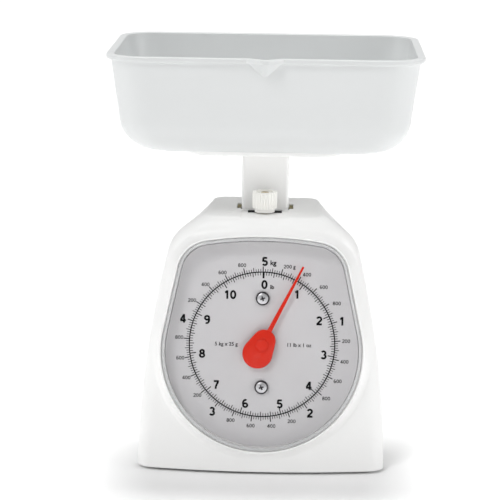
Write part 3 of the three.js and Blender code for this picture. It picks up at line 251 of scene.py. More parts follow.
def smooth(piece, angle=35.0):
    bpy.ops.object.select_all(action="DESELECT")
    bpy.context.view_layer.objects.active = piece
    piece.select_set(True)
    bpy.ops.object.shade_smooth_by_angle(angle=math.radians(angle))


def fit(piece, body, slot, finish, *nodes):
    """Gives a piece its finish, the body that it rides on and the nodes that it stands for."""
    piece.data.materials.clear()
    piece.data.materials.append(finish.material)
    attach(piece, body)
    if nodes:
        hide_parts(*nodes)


def copy_to(master, name, place):
    """A copy of a modelled piece with its own mesh, at a place."""
    piece = master.copy()
    piece.data = master.data.copy()
    piece.name = name
    bpy.context.collection.objects.link(piece)
    piece.data.transform(place)
    return piece


def at(x, y, z):
    return Matrix.Translation(Vector((x, y, z)) * MM)


FOOT_RADIUS = 7.0
FOOT_HEIGHT = 2.4
FOOT_RIM = 1.8
FOOT_DISH = 0.5
FOOT_EDGE = 0.6
FOOT_PLACES = {
    "front_left": (-55.5, -37), "front_right": (55.5, -37),
    "back_left": (-46.5, 37), "back_right": (46.5, 37),
}
rubber = Finish("foot_rubber", shade(52, 52, 54), 0.85)
rubber_grain = rubber.noise(2200.0)
rubber.vary(Base_Color=rubber.between(rubber.noise(300.0), shade(44, 44, 46), shade(66, 66, 68)))
rubber.vary(Roughness=0.75 + rubber_grain * 0.2)
rubber.bump(rubber_grain, 0.4, 0.0002)
foot_middle = (0, 0, FOOT_HEIGHT / 2)
foot = add("cylinder", "foot_master", foot_middle, vertices=48, radius=FOOT_RADIUS, depth=FOOT_HEIGHT)
with editing(foot):
    pick("faces", flat_at(0))
    inset(FOOT_RIM)
    inset(FOOT_DISH)
    move(z=FOOT_DISH)
    pick("edges", rim_at(0, FOOT_RADIUS - 0.1))
    bevel(FOOT_EDGE, 4)
smooth(foot)
for corner, (x, y) in FOOT_PLACES.items():
    piece = copy_to(foot, f"rubber_foot_{corner}", at(x, y, 0))
    fit(piece, "housing", "foot_rubber", rubber, f"foot_{corner}")
bpy.data.objects.remove(foot)


# Screws underneath: plated cross-head screws. Four hold the base plate to the housing's posts
# and four hold the chassis to the base plate, with their heads downwards.
def modify(piece, kind, **settings):
    """Adds a modifier to a piece and applies it."""
    bpy.ops.object.select_all(action="DESELECT")
    bpy.context.view_layer.objects.active = piece
    piece.select_set(True)
    modifier = piece.modifiers.new(kind, kind)
    for key, value in settings.items():
        setattr(modifier, key, value)
    bpy.ops.object.modifier_apply(modifier=modifier.name)


def carve(piece, *cutters, operation="DIFFERENCE"):
    """Cuts pieces out of a piece, or joins them to it, and removes them."""
    for cutter in cutters:
        modify(piece, "BOOLEAN", object=cutter, operation=operation, solver="EXACT")
        bpy.data.objects.remove(cutter)


def extrude(z):
    """Extrudes what is selected up by a height in mm."""
    bpy.ops.mesh.extrude_region_move(TRANSFORM_OT_translate={"value": (0, 0, z * MM)})


# Shares of a screw head's radius and height: its straight side, its crown's steps and its recess.
HEAD_SIDE = 0.45
HEAD_CROWN = ((0.08, 0.2), (0.14, 0.18), (0.2, 0.12), (0.25, 0.05))
RECESS_REACH = 0.62
RECESS_WIDTH = 0.26
RECESS_DEPTH = 0.55
RECESS_BOTTOM = (0.45, 0.7, 1)


def cross_cutter(reach, width, depth, top, turn):
    """One bar of a cross recess, narrower towards its bottom."""
    bar = add("cube", "cross_bar", (0, 0, top), (2 * reach, width, 2 * depth), size=1)
    with editing(bar):
        pick("faces", flat_at(top - depth))
        bpy.ops.transform.resize(value=RECESS_BOTTOM)
    bar.rotation_euler.z = turn
    bpy.ops.object.transform_apply()
    return bar


def cross_head_screw(radius, height, shank, length, recess=RECESS_REACH):
    """A pan head above the origin with a cross recess, and the shank below."""
    side = height * HEAD_SIDE
    piece = add("cylinder", "screw_master", (0, 0, side / 2), vertices=48, radius=radius, depth=side)
    with editing(piece):
        pick("faces", flat_at(0))
        inset(radius - shank)
        extrude(z=-length)
        for margin, rise in HEAD_CROWN:
            top = max(vert.co.z for vert in bmesh.from_edit_mesh(piece.data).verts) / MM
            pick("faces", flat_at(top))
            inset(radius * margin)
            move(z=height * rise)
        pick("edges", rim_at(-length))
        bevel(shank * 0.25, 2)
    for turn in (0.0, math.pi / 2):
        width, depth = radius * RECESS_WIDTH, height * RECESS_DEPTH
        carve(piece, cross_cutter(radius * recess, width, depth, height, turn))
    smooth(piece, 30.0)
    return piece


def plated_steel(name, colour, roughness):
    """Plated steel: a bright metal with fine turning and handling marks."""
    finish = Finish(name, colour, roughness, Metallic=1.0)
    marks = finish.noise(900.0, 5.0)
    finish.vary(Base_Color=finish.between(finish.noise(160.0), [part * 0.8 for part in colour], colour))
    finish.vary(Roughness=roughness - 0.08 + marks * 0.2)
    finish.bump(marks, 0.15, 0.0001)
    return finish


zinc_plate = plated_steel("zinc_plate", shade(198, 200, 202), 0.32)
UNDERSIDE = 2.4
SCREWS_BELOW = {
    "base_screw": {
        "front_left": (-66.5, -37), "front_right": (66.5, -37),
        "back_left": (-57.5, 37), "back_right": (57.5, 37),
    },
    "chassis_screw": {
        "front_left": (-22, -27), "front_right": (22, -27),
        "back_left": (-22, 23), "back_right": (22, 23),
    },
}
small_screw = cross_head_screw(radius=3.25, height=1.5, shank=1.5, length=7.0)
for kind, places in SCREWS_BELOW.items():
    for corner, (x, y) in places.items():
        turned = at(x, y, UNDERSIDE) @ Matrix.Rotation(math.pi, 4, "X")
        piece = copy_to(small_screw, f"plated_{kind}_{corner}", turned)
        fit(piece, "housing", "steel", zinc_plate, f"{kind}_{corner}")
bpy.data.objects.remove(small_screw)


# Base plate and works: the CAD solids stay, in moulded white plastic, olive passivated sheet,
# zinc plated pins and springs, and turned brass. Little of them shows outside the housing.
def dress(finish, *names):
    for name in names:
        for material_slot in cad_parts[name].material_slots:
            material_slot.material = finish.material


def moulded_plastic(name, colour, roughness, gloss=0.5):
    """Moulded plastic: slightly uneven tone and gloss, and the mould's fine grain."""
    finish = Finish(name, colour, roughness, IOR=1.5, Specular_IOR_Level=gloss)
    tone = finish.noise(18.0, 4.0)
    finish.vary(Base_Color=finish.between(tone, [part * 0.975 for part in colour], colour))
    finish.vary(Roughness=roughness - 0.05 + finish.noise(60.0, 5.0) * 0.1)
    finish.bump(finish.noise(1400.0, 2.0), 0.06, 0.0002)
    return finish


white_plastic = moulded_plastic("white_plastic", shade(250, 250, 249), 0.32)
passivated = plated_steel("passivated_sheet", shade(158, 148, 100), 0.42)
turned_brass = plated_steel("turned_brass", shade(190, 162, 98), 0.32)
dress(white_plastic, "base_plate")
dress(passivated, "chassis", "upper_lever", "lower_lever", "column_bracket", "spindle_bridge")
dress(turned_brass, "spindle_bush", "rack")
dress(
    zinc_plate, "spindle", "bridge_screw_left", "bridge_screw_right", "upper_lever_fixed_pin",
    "lower_lever_fixed_pin", "upper_lever_moving_pin", "lower_lever_moving_pin", "column_screw_left",
    "column_screw_right", "rack_screw", "spring_hanger", "main_spring_left", "main_spring_right",
    "platform_screw_left", "platform_screw_right",
)

# Housing: a bell moulded in white plastic, open below. Its front leans back and bows forward,
# a raised frame with a soft fillet goes round the dial window, and the top has the openings
# for the column, the chassis lugs and the zero knob's screw.
BODY_BOTTOM = 2.0
SHOULDER = 145.0
SHOULDER_FULLNESS = 0.6
BODY_TOP = 169.0
BODY_HALF = 82.5
SIDE_LEAN = 2.48
SIDE_CURVE = 16.28
TOP_HALF = 40.0
FRONT_Y = -63.0
BACK_Y = 59.0
FRONT_SLOPE = math.tan(math.radians(7.3))
BACK_SLOPE = math.tan(math.radians(6.0))
BACK_TAPER = 9.0
SHOULDER_TAPER = 19.0
TOP_TAPER = 4.5
FRONT_BOW = 420.0
FRONT_CORNER = 12.0
BACK_CORNER = 8.0
EDGE_RISE = 9.0
FRONT_EDGE_RUN, BACK_EDGE_RUN = 6.0, 3.0
TOP_ROUND = 2.5
WALL = 2.5


def half_width(z):
    """Half the housing's width at a level below the shoulder."""
    share = (z - BODY_BOTTOM) / (SHOULDER - BODY_BOTTOM)
    return BODY_HALF - SIDE_LEAN * share - SIDE_CURVE * share * share


def top_edge(z, run):
    """How far the round edge of the top draws in at a level."""
    rise = max(0.0, (z - BODY_TOP + EDGE_RISE) / EDGE_RISE)
    return run * (1 - math.sqrt(max(0.0, 1 - rise * rise)))


def front_at(z):
    return FRONT_Y + (z - BODY_BOTTOM) * FRONT_SLOPE + top_edge(z, FRONT_EDGE_RUN)


def back_at(z):
    return BACK_Y - (z - BODY_BOTTOM) * BACK_SLOPE - top_edge(z, BACK_EDGE_RUN)


def arc(u, v, radius, start, end, steps):
    angles = [start + (end - start) * i / steps for i in range(steps + 1)]
    return [(u + radius * math.cos(angle), v + radius * math.sin(angle)) for angle in angles]


def bell_ring(half, z, taper):
    """The housing's outline at a level: a bowed front, round corners and a narrower back."""
    front, back = front_at(z), back_at(z)
    side = half - FRONT_CORNER
    rear = half - taper - BACK_CORNER
    quarter = math.pi / 2
    corner = front + side * side / (2 * FRONT_BOW) + FRONT_CORNER
    across = [side * (i / 8 - 1) for i in range(1, 16)]
    outline = arc(-side, corner, FRONT_CORNER, 2 * quarter, 3 * quarter, 8)
    outline += [(x, front + x * x / (2 * FRONT_BOW)) for x in across]
    outline += arc(side, corner, FRONT_CORNER, 3 * quarter, 4 * quarter, 8)
    outline += arc(rear, back - BACK_CORNER, BACK_CORNER, 0, quarter, 8)
    outline += arc(-rear, back - BACK_CORNER, BACK_CORNER, quarter, 2 * quarter, 8)
    return [(x, y, z) for x, y in outline]


def bell_rings(sides, shoulder):
    """The outlines from the lower edge up the sides and over the shoulder."""
    heights = [BODY_BOTTOM + (SHOULDER - BODY_BOTTOM) * i / sides for i in range(sides)]
    rings = [bell_ring(half_width(z), z, BACK_TAPER) for z in heights]
    slope = (SIDE_LEAN + 2 * SIDE_CURVE) / (SHOULDER - BODY_BOTTOM)
    rise = (BODY_TOP - SHOULDER) * SHOULDER_FULLNESS
    start = Vector((half_width(SHOULDER), SHOULDER, BACK_TAPER))
    pull = Vector((start.x - slope * rise, SHOULDER + rise, SHOULDER_TAPER))
    end = Vector((TOP_HALF, BODY_TOP, TOP_TAPER))
    for i in range(shoulder + 1):
        t = i / shoulder
        point = start * (1 - t) ** 2 + pull * (2 * t * (1 - t)) + end * t * t
        rings.append(bell_ring(point.x, point.y, point.z))
    return rings


def loft(name, rings, wrap=False):
    """A closed skin over drawn rings of like count: wrapped round, or with its two ends filled."""
    count = len(rings[0])
    points = [Vector(point) * MM for ring in rings for point in ring]
    last = len(rings) if wrap else len(rings) - 1
    faces = []
    for i in range(last):
        here, there = i * count, (i + 1) % len(rings) * count
        for k in range(count):
            after = (k + 1) % count
            faces.append((here + k, here + after, there + after, there + k))
    if not wrap:
        faces.append(tuple(range(count)))
        faces.append(tuple(range((len(rings) - 1) * count, len(rings) * count)))
    mesh = bpy.data.meshes.new(name)
    mesh.from_pydata(points, [], faces)
    piece = bpy.data.objects.new(name, mesh)
    bpy.context.collection.objects.link(piece)
    with editing(piece):
        bpy.ops.mesh.select_all(action="SELECT")
        bpy.ops.mesh.normals_make_consistent(inside=False)
    return piece


bell = loft("housing_shell", bell_rings(sides=16, shoulder=14))
with editing(bell):
    pick("edges", rim_at(BODY_TOP))
    bevel(TOP_ROUND, 5)
    pick("faces", flat_at(BODY_BOTTOM))
    bpy.ops.mesh.delete(type="FACE")

# The dial frame: u to the right, v up the dial, s out of it, leaning back by 7 degrees.
DIAL_PLACE = at(0, -44.661, 84.598) @ Matrix.Rotation(math.radians(83.0), 4, "X")
WINDOW_RADIUS = 66.0
WINDOW_DROP = 4.0
WINDOW_LEAN = math.radians(12.1)
WINDOW_CORNER = 22.0
CORNER_U, CORNER_V = 34.098, 46.852
TOP_CENTRE, TOP_RADIUS = -168.465, 240.0
TOP_TURN = math.radians(81.001)
SOUNDING = 60.0


def window_outline(grow):
    """The dial window's outline, grown outwards, anticlockwise from the left side."""
    left_lean, left_turn = math.pi - WINDOW_LEAN, math.pi - TOP_TURN
    lower = arc(0, -WINDOW_DROP, WINDOW_RADIUS + grow, left_lean, 2 * math.pi + WINDOW_LEAN, 72)
    right = arc(CORNER_U, CORNER_V, WINDOW_CORNER + grow, WINDOW_LEAN, TOP_TURN, 12)
    top = arc(0, TOP_CENTRE, TOP_RADIUS + grow, TOP_TURN, left_turn, 24)[1:-1]
    left = arc(-CORNER_U, CORNER_V, WINDOW_CORNER + grow, left_turn, left_lean, 12)
    return lower + right + top + left


def to_dial(piece):
    """Moves a piece that is made flat on the dial frame into its place."""
    bpy.ops.object.select_all(action="DESELECT")
    bpy.context.view_layer.objects.active = piece
    piece.select_set(True)
    piece.matrix_world = DIAL_PLACE
    bpy.ops.object.transform_apply()
    return piece


def level_ring(grow, s):
    return [(u, v, s) for u, v in window_outline(grow)]


def face_depth(u, v):
    """How far the housing's front stands out of the dial frame at a place on it."""
    start = DIAL_PLACE @ (Vector((u, v, SOUNDING)) * MM)
    along = DIAL_PLACE.to_3x3() @ Vector((0, 0, -1))
    hit, place, _, _ = bell.ray_cast(start, along)
    return SOUNDING - (place - start).length / MM if hit else 0.0


def face_ring(grow, rise):
    """An outline that stands a given height over the housing's front."""
    return [(u, v, face_depth(u, v) + rise) for u, v in window_outline(grow)]


LEDGE = -1.4
LENS_SEAT = 6.3
FRAME_TOP = 10.1
FLARE_START = 1.7
FLARE_END = 8.2
FLARE_CURVE = 2.2
FLARE_SINK = 0.12
FRAME_SINK = 1.2
LIP_PROFILE = (
    (LEDGE, 0.3), (LEDGE, 6.0), (LEDGE + 0.3, LENS_SEAT), (0.0, LENS_SEAT), (0.7, LENS_SEAT + 0.3),
    (0.7, 9.6), (0.82, 9.95), (1.2, FRAME_TOP), (FLARE_START, FRAME_TOP),
)
UNDER_GROWTH = (FLARE_END, 4.0, 1.6)
UNDER_PROFILE = ((1.6, -0.9), (-0.2, -0.9), (-0.2, 0.3))
HOLE_GROWTH = 1.0
HOLE_ENDS = (-30.0, 40.0)


def flare_rings(steps):
    """The fillet from the frame's top down to the housing's front."""
    rings = []
    for i in range(1, steps + 1):
        t = i / steps
        outline = window_outline(FLARE_START + (FLARE_END - FLARE_START) * t)
        sink = (1 - t) ** FLARE_CURVE
        ring = []
        for u, v in outline:
            face = face_depth(u, v)
            ring.append((u, v, face + (FRAME_TOP - face) * sink - FLARE_SINK * t))
        rings.append(ring)
    return rings


bpy.context.view_layer.update()
frame_rings = [level_ring(grow, s) for grow, s in LIP_PROFILE]
frame_rings += flare_rings(steps=9)
frame_rings += [face_ring(grow, -FRAME_SINK) for grow in UNDER_GROWTH]
frame_rings += [level_ring(grow, s) for grow, s in UNDER_PROFILE]
window_frame = to_dial(loft("window_frame", frame_rings, wrap=True))
window_hole = to_dial(loft("window_hole", [level_ring(HOLE_GROWTH, s) for s in HOLE_ENDS]))

# The openings in the top, each with its middle and its size, and the round ones beside them.
COLUMN_Y = 3.0
ZERO_Y = -17.0
ZERO_SCREW_PLACE, ZERO_SCREW_ROOM = (0, ZERO_Y, 168), 3.1
DIMPLE_X, DIMPLE_Z, DIMPLE_RADIUS = 22.7, 171.6, 3.4
TOP_OPENINGS = {
    "column_hole": ((0, COLUMN_Y, 168), (32.6, 21.2, 12)),
    "lug_hole": ((0, 4.55, 168), (38, 18.1, 12)),
    "zero_room": ((0, -12, 164.2), (27, 14, 8)),
    "zero_hole": ((0, -13.2, 168), (23, 7.6, 12)),
}
PANEL_PLACE, PANEL_SIZE = (0, -24, 169.4), (31.4, 27, 2)
modify(bell, "SOLIDIFY", thickness=WALL * MM, offset=-1.0, use_even_offset=True)
carve(bell, window_hole)
for name, (place, stretch) in TOP_OPENINGS.items():
    carve(bell, add("cube", name, place, stretch, size=1))
screw_hole = add("cylinder", "screw_hole", ZERO_SCREW_PLACE, vertices=32, radius=ZERO_SCREW_ROOM, depth=12)
carve(bell, screw_hole, add("cube", "top_panel", PANEL_PLACE, PANEL_SIZE, size=1))
for x in (-DIMPLE_X, DIMPLE_X):
    place = (x, ZERO_Y, DIMPLE_Z)
    carve(bell, add("uv_sphere", "dimple", place, segments=24, ring_count=12, radius=DIMPLE_RADIUS))
carve(bell, window_frame, operation="UNION")
smooth(bell, 38.0)
bell.modifiers.new("even_shading", "WEIGHTED_NORMAL").keep_sharp = True
fit(bell, "housing", "white_plastic", white_plastic, "body_shell")

# Black strip: a strip of black rubber under the top, along the back of the zero screw's slot.
# It is a dark sheet where the slot holds only shade: painted shade, a black line on both sides of the knob.
SHADE_STRIP_PLACE = (0, -9.85, 164.7)
SHADE_STRIP_SIZE = (22.6, 0.8, 7.8)
SHADE_STRIP_EDGE = 0.2
# Black rubber strip: painted shade for the dark inside of the slot.
shade_strip = add("cube", "black_shade_strip", SHADE_STRIP_PLACE, SHADE_STRIP_SIZE, size=1)
with editing(shade_strip):
    bpy.ops.mesh.select_all(action="SELECT")
    bevel(SHADE_STRIP_EDGE, 2)
smooth(shade_strip)
fit(shade_strip, "housing", "foot_rubber", rubber)

# Dial: a steel plate in light grey paint, printed in black with a kilogram scale outside the
# ring and a pound scale inside it, and in dark grey with the smaller figures.
dial_paint = Finish("dial_paint", shade(213, 212, 214), 0.5)
paint_speck = dial_paint.noise(700.0, 3.0)
paint_tone = dial_paint.between(dial_paint.noise(30.0), shade(209, 207, 209), shade(216, 215, 217))
dial_paint.vary(Base_Color=paint_tone)
dial_paint.vary(Roughness=0.42 + paint_speck * 0.12)
dial_paint.bump(paint_speck, 0.08, 0.0001)
dress(dial_paint, "dial_plate")

RING_RADIUS = 48.3
INK_LIFT = 0.06
INK_THICKNESS = 0.04
FIGURE_SHARE = 0.70
FIGURE_MIDDLE = 0.041
KG_TURN = 360.0 / 5
POUND_TURN = 360.0 / 11.0231
OUNCE_TURN = POUND_TURN / 16


def printing_ink(name, dark, worn):
    finish = Finish(name, dark, 0.45, Specular_IOR_Level=0.1)
    finish.vary(Base_Color=finish.between(finish.noise(900.0), dark, worn))
    finish.vary(Roughness=0.4 + finish.noise(500.0) * 0.15)
    return finish


def ticks(length, width, radius, turn, count):
    """A row of like tick marks, spun clockwise from the top of the dial."""
    row = add("plane", "ticks", (0, radius + length / 2, 0), (width, abs(length), 1), size=1)
    with editing(row):
        bpy.ops.mesh.select_all(action="SELECT")
        bpy.ops.mesh.spin(
            steps=count, dupli=True, angle=math.radians(turn * count), center=(0, 0, 0), axis=(0, 0, -1),
        )
        bpy.ops.mesh.select_all(action="SELECT")
        bpy.ops.mesh.remove_doubles(threshold=0.005 * MM)
        bpy.ops.mesh.normals_make_consistent(inside=False)
    return row


def ring_line(radius, width):
    line = add("circle", "ring_line", vertices=180, radius=radius - width / 2, fill_type="NOTHING")
    with editing(line):
        bpy.ops.mesh.select_all(action="SELECT")
        bpy.ops.mesh.extrude_edges_move()
        share = (radius + width / 2) / (radius - width / 2)
        bpy.ops.transform.resize(value=(share, share, 1), center_override=(0, 0, 0))
    return line


def words(text, height, u, v, weight=0.0):
    """Printed words with figures of a height, centred on a place on the dial."""
    bpy.ops.object.select_all(action="DESELECT")
    bpy.ops.object.text_add()
    piece = bpy.context.object
    piece.data.body = text
    piece.data.align_x = "CENTER"
    piece.data.align_y = "CENTER"
    piece.data.offset = weight
    piece.data.resolution_u = 5
    bpy.ops.object.convert(target="MESH")
    piece = bpy.context.object
    size = height / FIGURE_SHARE
    piece.scale = Vector((size, size, size)) * MM
    piece.location = Vector((u, v - FIGURE_MIDDLE * size, 0)) * MM
    bpy.ops.object.transform_apply()
    return piece


def bow(u, v, across, up, start, end):
    """Points along an ellipse, from one angle to another in degrees."""
    turns = [math.radians(start + (end - start) * i / 24) for i in range(25)]
    return [(u + across * math.cos(turn), v + up * math.sin(turn)) for turn in turns]


def upside_down(strokes):
    return [[(-u, 1 - v) for u, v in path] for path in strokes]


# The figures' strokes, as paths in a frame that is one figure high, from 0 at the foot to 1 at the top.
ONCE_ROUND = 375.0
SIX = [bow(0.01, 0.305, 0.24, 0.22, 0, ONCE_ROUND), bow(0.02, 0.5, 0.265, 0.415, 60, 190)]
STROKES = {
    "0": [bow(0, 0.5, 0.25, 0.415, 0, ONCE_ROUND)],
    "1": [[(0.06, 0), (0.06, 1)], [(-0.21, 0.76), (-0.05, 0.79), (0.04, 0.93)]],
    "2": [bow(0, 0.69, 0.245, 0.225, 165, -38) + [(-0.235, 0.1)], [(-0.32, 0.085), (0.32, 0.085)]],
    "3": [bow(-0.01, 0.705, 0.215, 0.21, 155, -80), bow(-0.01, 0.3, 0.25, 0.215, 85, -155)],
    "4": [[(0.115, 0), (0.115, 1)], [(0.1, 0.95), (-0.27, 0.33)], [(-0.33, 0.275), (0.33, 0.275)]],
    "5": [
        [(-0.2, 0.915), (0.27, 0.915)], [(-0.165, 0.95), (-0.215, 0.47)],
        bow(0, 0.32, 0.25, 0.235, 135, -150),
    ],
    "6": SIX,
    "7": [[(-0.3, 0.915), (0.3, 0.915)], [(0.235, 0.9), (0.06, 0.55), (-0.04, 0.28), (-0.075, 0)]],
    "8": [bow(0, 0.71, 0.205, 0.2, 0, ONCE_ROUND), bow(0, 0.295, 0.25, 0.21, 0, ONCE_ROUND)],
    "9": upside_down(SIX),
}


def stroke_edges(path, width):
    """The two edges of a stroke of even width along a path, point by point."""
    points = [Vector(place) for place in path]
    runs = [(after - here).normalized() for here, after in zip(points, points[1:])]
    edges = []
    for here, before, after in zip(points, runs[:1] + runs, runs + runs[-1:]):
        along = (before + after).normalized()
        across = Vector((-along.y, along.x)) * width / 2 / along.dot(after)
        edges += [here + across, here - across]
    return edges


def figures(text, height, u, v, width, advance):
    """Printed figures of a height, drawn stroke by stroke and centred on a place on the dial."""
    points, faces = [], []
    for k, character in enumerate(text):
        start = (k - (len(text) - 1) / 2) * advance
        for path in STROKES[character]:
            first = len(points)
            edges = stroke_edges(path, width)
            for x, y in edges:
                points.append(Vector((u + (start + x) * height, v + (y - 0.5) * height, 0)) * MM)
            faces += [(i, i + 1, i + 3, i + 2) for i in range(first, len(points) - 2, 2)]
    mesh = bpy.data.meshes.new("figures")
    mesh.from_pydata(points, [], faces)
    piece = bpy.data.objects.new("figures", mesh)
    bpy.context.collection.objects.link(piece)
    return piece


def on_dial(degrees, radius):
    """The place at a turn clockwise from the top of the dial."""
    return radius * math.sin(math.radians(degrees)), radius * math.cos(math.radians(degrees))


def printed(name, marks, finish):
    """Joins marks to one thin layer of ink on the dial."""
    bpy.ops.object.select_all(action="DESELECT")
    for mark in marks:
        mark.select_set(True)
    bpy.context.view_layer.objects.active = marks[0]
    bpy.ops.object.join()
    layer = marks[0]
    layer.name = name
    layer.data.transform(at(0, 0, INK_LIFT))
    modify(layer, "SOLIDIFY", thickness=INK_THICKNESS * MM, offset=0.0)
    fit(to_dial(layer), "housing", "dial_print", finish)


BOLD_STROKE, BOLD_ADVANCE = 0.232, 0.74
LIGHT_STROKE, LIGHT_ADVANCE = 0.165, 0.74
FIGURE_HEIGHT = 5.7
SMALL_HEIGHT = 2.5
KG_RADIUS, POUND_RADIUS, SMALL_RADIUS = 55.4, 40.8, 55.2
GRAM_SPACE = 4.4
KG_SHIFT = {5: (1.0, 0.0)}
POUND_SHIFT = {0: (1.0, -0.8), 10: (0.7, -1.1)}
SMALL_SHIFT = [(2.5, -1.25), (0.7, -0.2), (0.2, 0.2), (0.0, 0.45), (-0.3, -0.8)]
LETTER_WEIGHT = 0.016
HEAVY_WEIGHT = 0.03
RING_WIDTH = 0.72
# Rows of ticks: length, which is inwards below zero, width, turn from one to the next and count.
TICK_ROWS = (
    (2.1, 0.4, KG_TURN / 40, 200), (3.0, 0.46, KG_TURN / 10, 50), (3.8, 0.64, KG_TURN / 5, 25),
    (-2.2, 0.44, OUNCE_TURN, 176), (-3.1, 0.5, OUNCE_TURN * 4, 44), (-4.1, 0.64, POUND_TURN, 11),
)
black_marks = [ring_line(RING_RADIUS, RING_WIDTH)]
for length, width, turn, count in TICK_ROWS:
    black_marks.append(ticks(length, width, RING_RADIUS, turn, count))
for kilograms in range(1, 6):
    u, v = on_dial(KG_TURN * kilograms, KG_RADIUS)
    aside, up = KG_SHIFT.get(kilograms, (0.0, -0.6))
    black_marks.append(figures(str(kilograms), FIGURE_HEIGHT, u + aside, v + up, BOLD_STROKE, BOLD_ADVANCE))
for pounds in range(0, 11):
    u, v = on_dial(POUND_TURN * pounds, POUND_RADIUS)
    aside, up = POUND_SHIFT.get(pounds, (0.6, -0.5))
    black_marks.append(figures(str(pounds), FIGURE_HEIGHT, u + aside, v + up, BOLD_STROKE, BOLD_ADVANCE))
black_marks.append(words("kg", height=3.1, u=6.6, v=54.6, weight=HEAVY_WEIGHT))
black_marks.append(words("lb", height=2.6, u=6.1, v=38.5, weight=HEAVY_WEIGHT))
printed("dial_black_print", black_marks, printing_ink("black_ink", shade(14, 13, 15), shade(24, 23, 25)))

grey_marks = [
    words("5 kg x 25 g", height=2.4, u=-23.8, v=0.0, weight=LETTER_WEIGHT),
    words("11 lb x 1 oz", height=2.4, u=24.5, v=0.0, weight=LETTER_WEIGHT),
]
for step in range(1, 25):
    u, v = on_dial(KG_TURN / 5 * step, SMALL_RADIUS)
    aside, up = SMALL_SHIFT[step // 5]
    if step % 5:
        text = str(step % 5 * 200)
        grey_marks.append(figures(text, SMALL_HEIGHT, u + aside, v + up, LIGHT_STROKE, LIGHT_ADVANCE))
    if step == 1:
        grey_marks.append(words("g", SMALL_HEIGHT, u + aside + GRAM_SPACE, v + up, LETTER_WEIGHT))
printed("dial_grey_print", grey_marks, printing_ink("grey_ink", shade(18, 17, 19), shade(30, 29, 32)))

# Dial screws: two pan-head screws of bright plated steel, with the cross recess and the side of
# each head in dark grey plating as painted shade. They go through the dial plate into the chassis.
bright_plate = plated_steel("bright_plate", shade(226, 226, 229), 0.38)
# Dark grey plating: painted shade in the cross recess and round the side of each head.
painted_shade_plate = plated_steel("painted_shade_plate", shade(74, 72, 75), 0.4)
SCREW_RADIUS, SCREW_HEIGHT = 4.6, 2.6
SHANK_RADIUS, SHANK_LENGTH = 2.5, 7.0
SCREW_RECESS, SCREW_CROWN = 0.5, 0.97
SCREW_SIDE = 0.8
SCREW_SEAT = 0.3
SCREW_TURN = math.radians(18.0)
SCREW_PLACES = {"upper": 30.8, "lower": -28.5}
dial_screw = cross_head_screw(SCREW_RADIUS, SCREW_HEIGHT, SHANK_RADIUS, SHANK_LENGTH, SCREW_RECESS)


def in_shade(face):
    """The recess and the side of a screw's head, coloured dark grey as painted shade."""
    reach = face.center.xy.length / MM / SCREW_RADIUS
    level = face.center.z / MM / SCREW_HEIGHT
    recessed = reach < SCREW_RECESS and level < SCREW_CROWN
    return level > 0 and (reach > SCREW_SIDE or recessed)


for place, v in SCREW_PLACES.items():
    turned = DIAL_PLACE @ at(0, v, SCREW_SEAT) @ Matrix.Rotation(SCREW_TURN, 4, "Z")
    piece = copy_to(dial_screw, f"bright_dial_screw_{place}", turned)
    fit(piece, "housing", "bright_screws", bright_plate, f"dial_screw_{place}")
    piece.data.materials.append(painted_shade_plate.material)
    # The recess and head side faces get the painted shade, the rest the bright plating.
    for face, drawn in zip(piece.data.polygons, dial_screw.data.polygons):
        face.material_index = 1 if in_shade(drawn) else 0
bpy.data.objects.remove(dial_screw)

# Pointer: one red moulding, an egg-shaped tail with a domed hub and a long tapered needle,
# pressed on the spindle's end. It rests where the photograph shows it.
POINTER_BACK = 3.0
POINTER_THICK = 1.6
POINTER_FRONT = POINTER_BACK + POINTER_THICK
POINTER_TURN = math.radians(-26.9)
TAIL_RADIUS, TAIL_V = 10.0, -6.3
NOSE_RADIUS, NOSE_V = 7.7, 3.1
TAIL_EDGE, TAIL_MARGIN, TAIL_RISE = 0.6, 2.2, 0.5
NEEDLE_V = 30.85
NEEDLE_SIZE = (3.3, 56.3, 1.2)
NEEDLE_TIP = (0.42, 1, 0.8)
NEEDLE_EDGE = 0.3
HUB_RADIUS, HUB_ROUND = 4.7, 2.3
HUB_BACK, HUB_FRONT = 2.0, 6.8
red_plastic = moulded_plastic("red_plastic", shade(223, 38, 10), 0.26, gloss=0.24)
pointer_middle = POINTER_BACK + POINTER_THICK / 2


def pointer_end(name, v, radius):
    """One round end of the pointer's egg-shaped tail."""
    return add("cylinder", name, (0, v, pointer_middle), vertices=64, radius=radius, depth=POINTER_THICK)


tail = pointer_end("red_pointer", TAIL_V, TAIL_RADIUS)
nose = pointer_end("pointer_nose", NOSE_V, NOSE_RADIUS)
nose.select_set(True)
tail.select_set(True)
bpy.context.view_layer.objects.active = tail
bpy.ops.object.join()
with editing(tail):
    bpy.ops.mesh.select_all(action="SELECT")
    bpy.ops.mesh.convex_hull()
    bpy.ops.mesh.select_all(action="SELECT")
    bpy.ops.mesh.dissolve_limited(angle_limit=math.radians(1.0))
    pick("faces", flat_at(POINTER_FRONT))
    inset(TAIL_MARGIN)
    move(z=TAIL_RISE)
    pick("edges", rim_at(POINTER_FRONT))
    bevel(TAIL_EDGE, 4)
needle = add("cube", "pointer_needle", (0, NEEDLE_V, pointer_middle), NEEDLE_SIZE, size=1)
with editing(needle):
    pick("verts", lambda vert: vert.co.y / MM > NEEDLE_V)
    bpy.ops.transform.resize(value=NEEDLE_TIP)
    pick("edges", lambda edge: all(vert.co.z / MM > pointer_middle for vert in edge.verts))
    bevel(NEEDLE_EDGE, 3)
hub_middle = (0, 0, (HUB_BACK + HUB_FRONT) / 2)
hub = add("cylinder", "pointer_hub", hub_middle, vertices=48, radius=HUB_RADIUS, depth=HUB_FRONT - HUB_BACK)
with editing(hub):
    pick("edges", rim_at(HUB_FRONT))
    bevel(HUB_ROUND, 8)
carve(tail, needle, hub, operation="UNION")
tail.data.transform(Matrix.Rotation(POINTER_TURN, 4, "Z"))
smooth(tail, 40.0)
fit(to_dial(tail), "indicator", "pointer_red", red_plastic, "pointer")
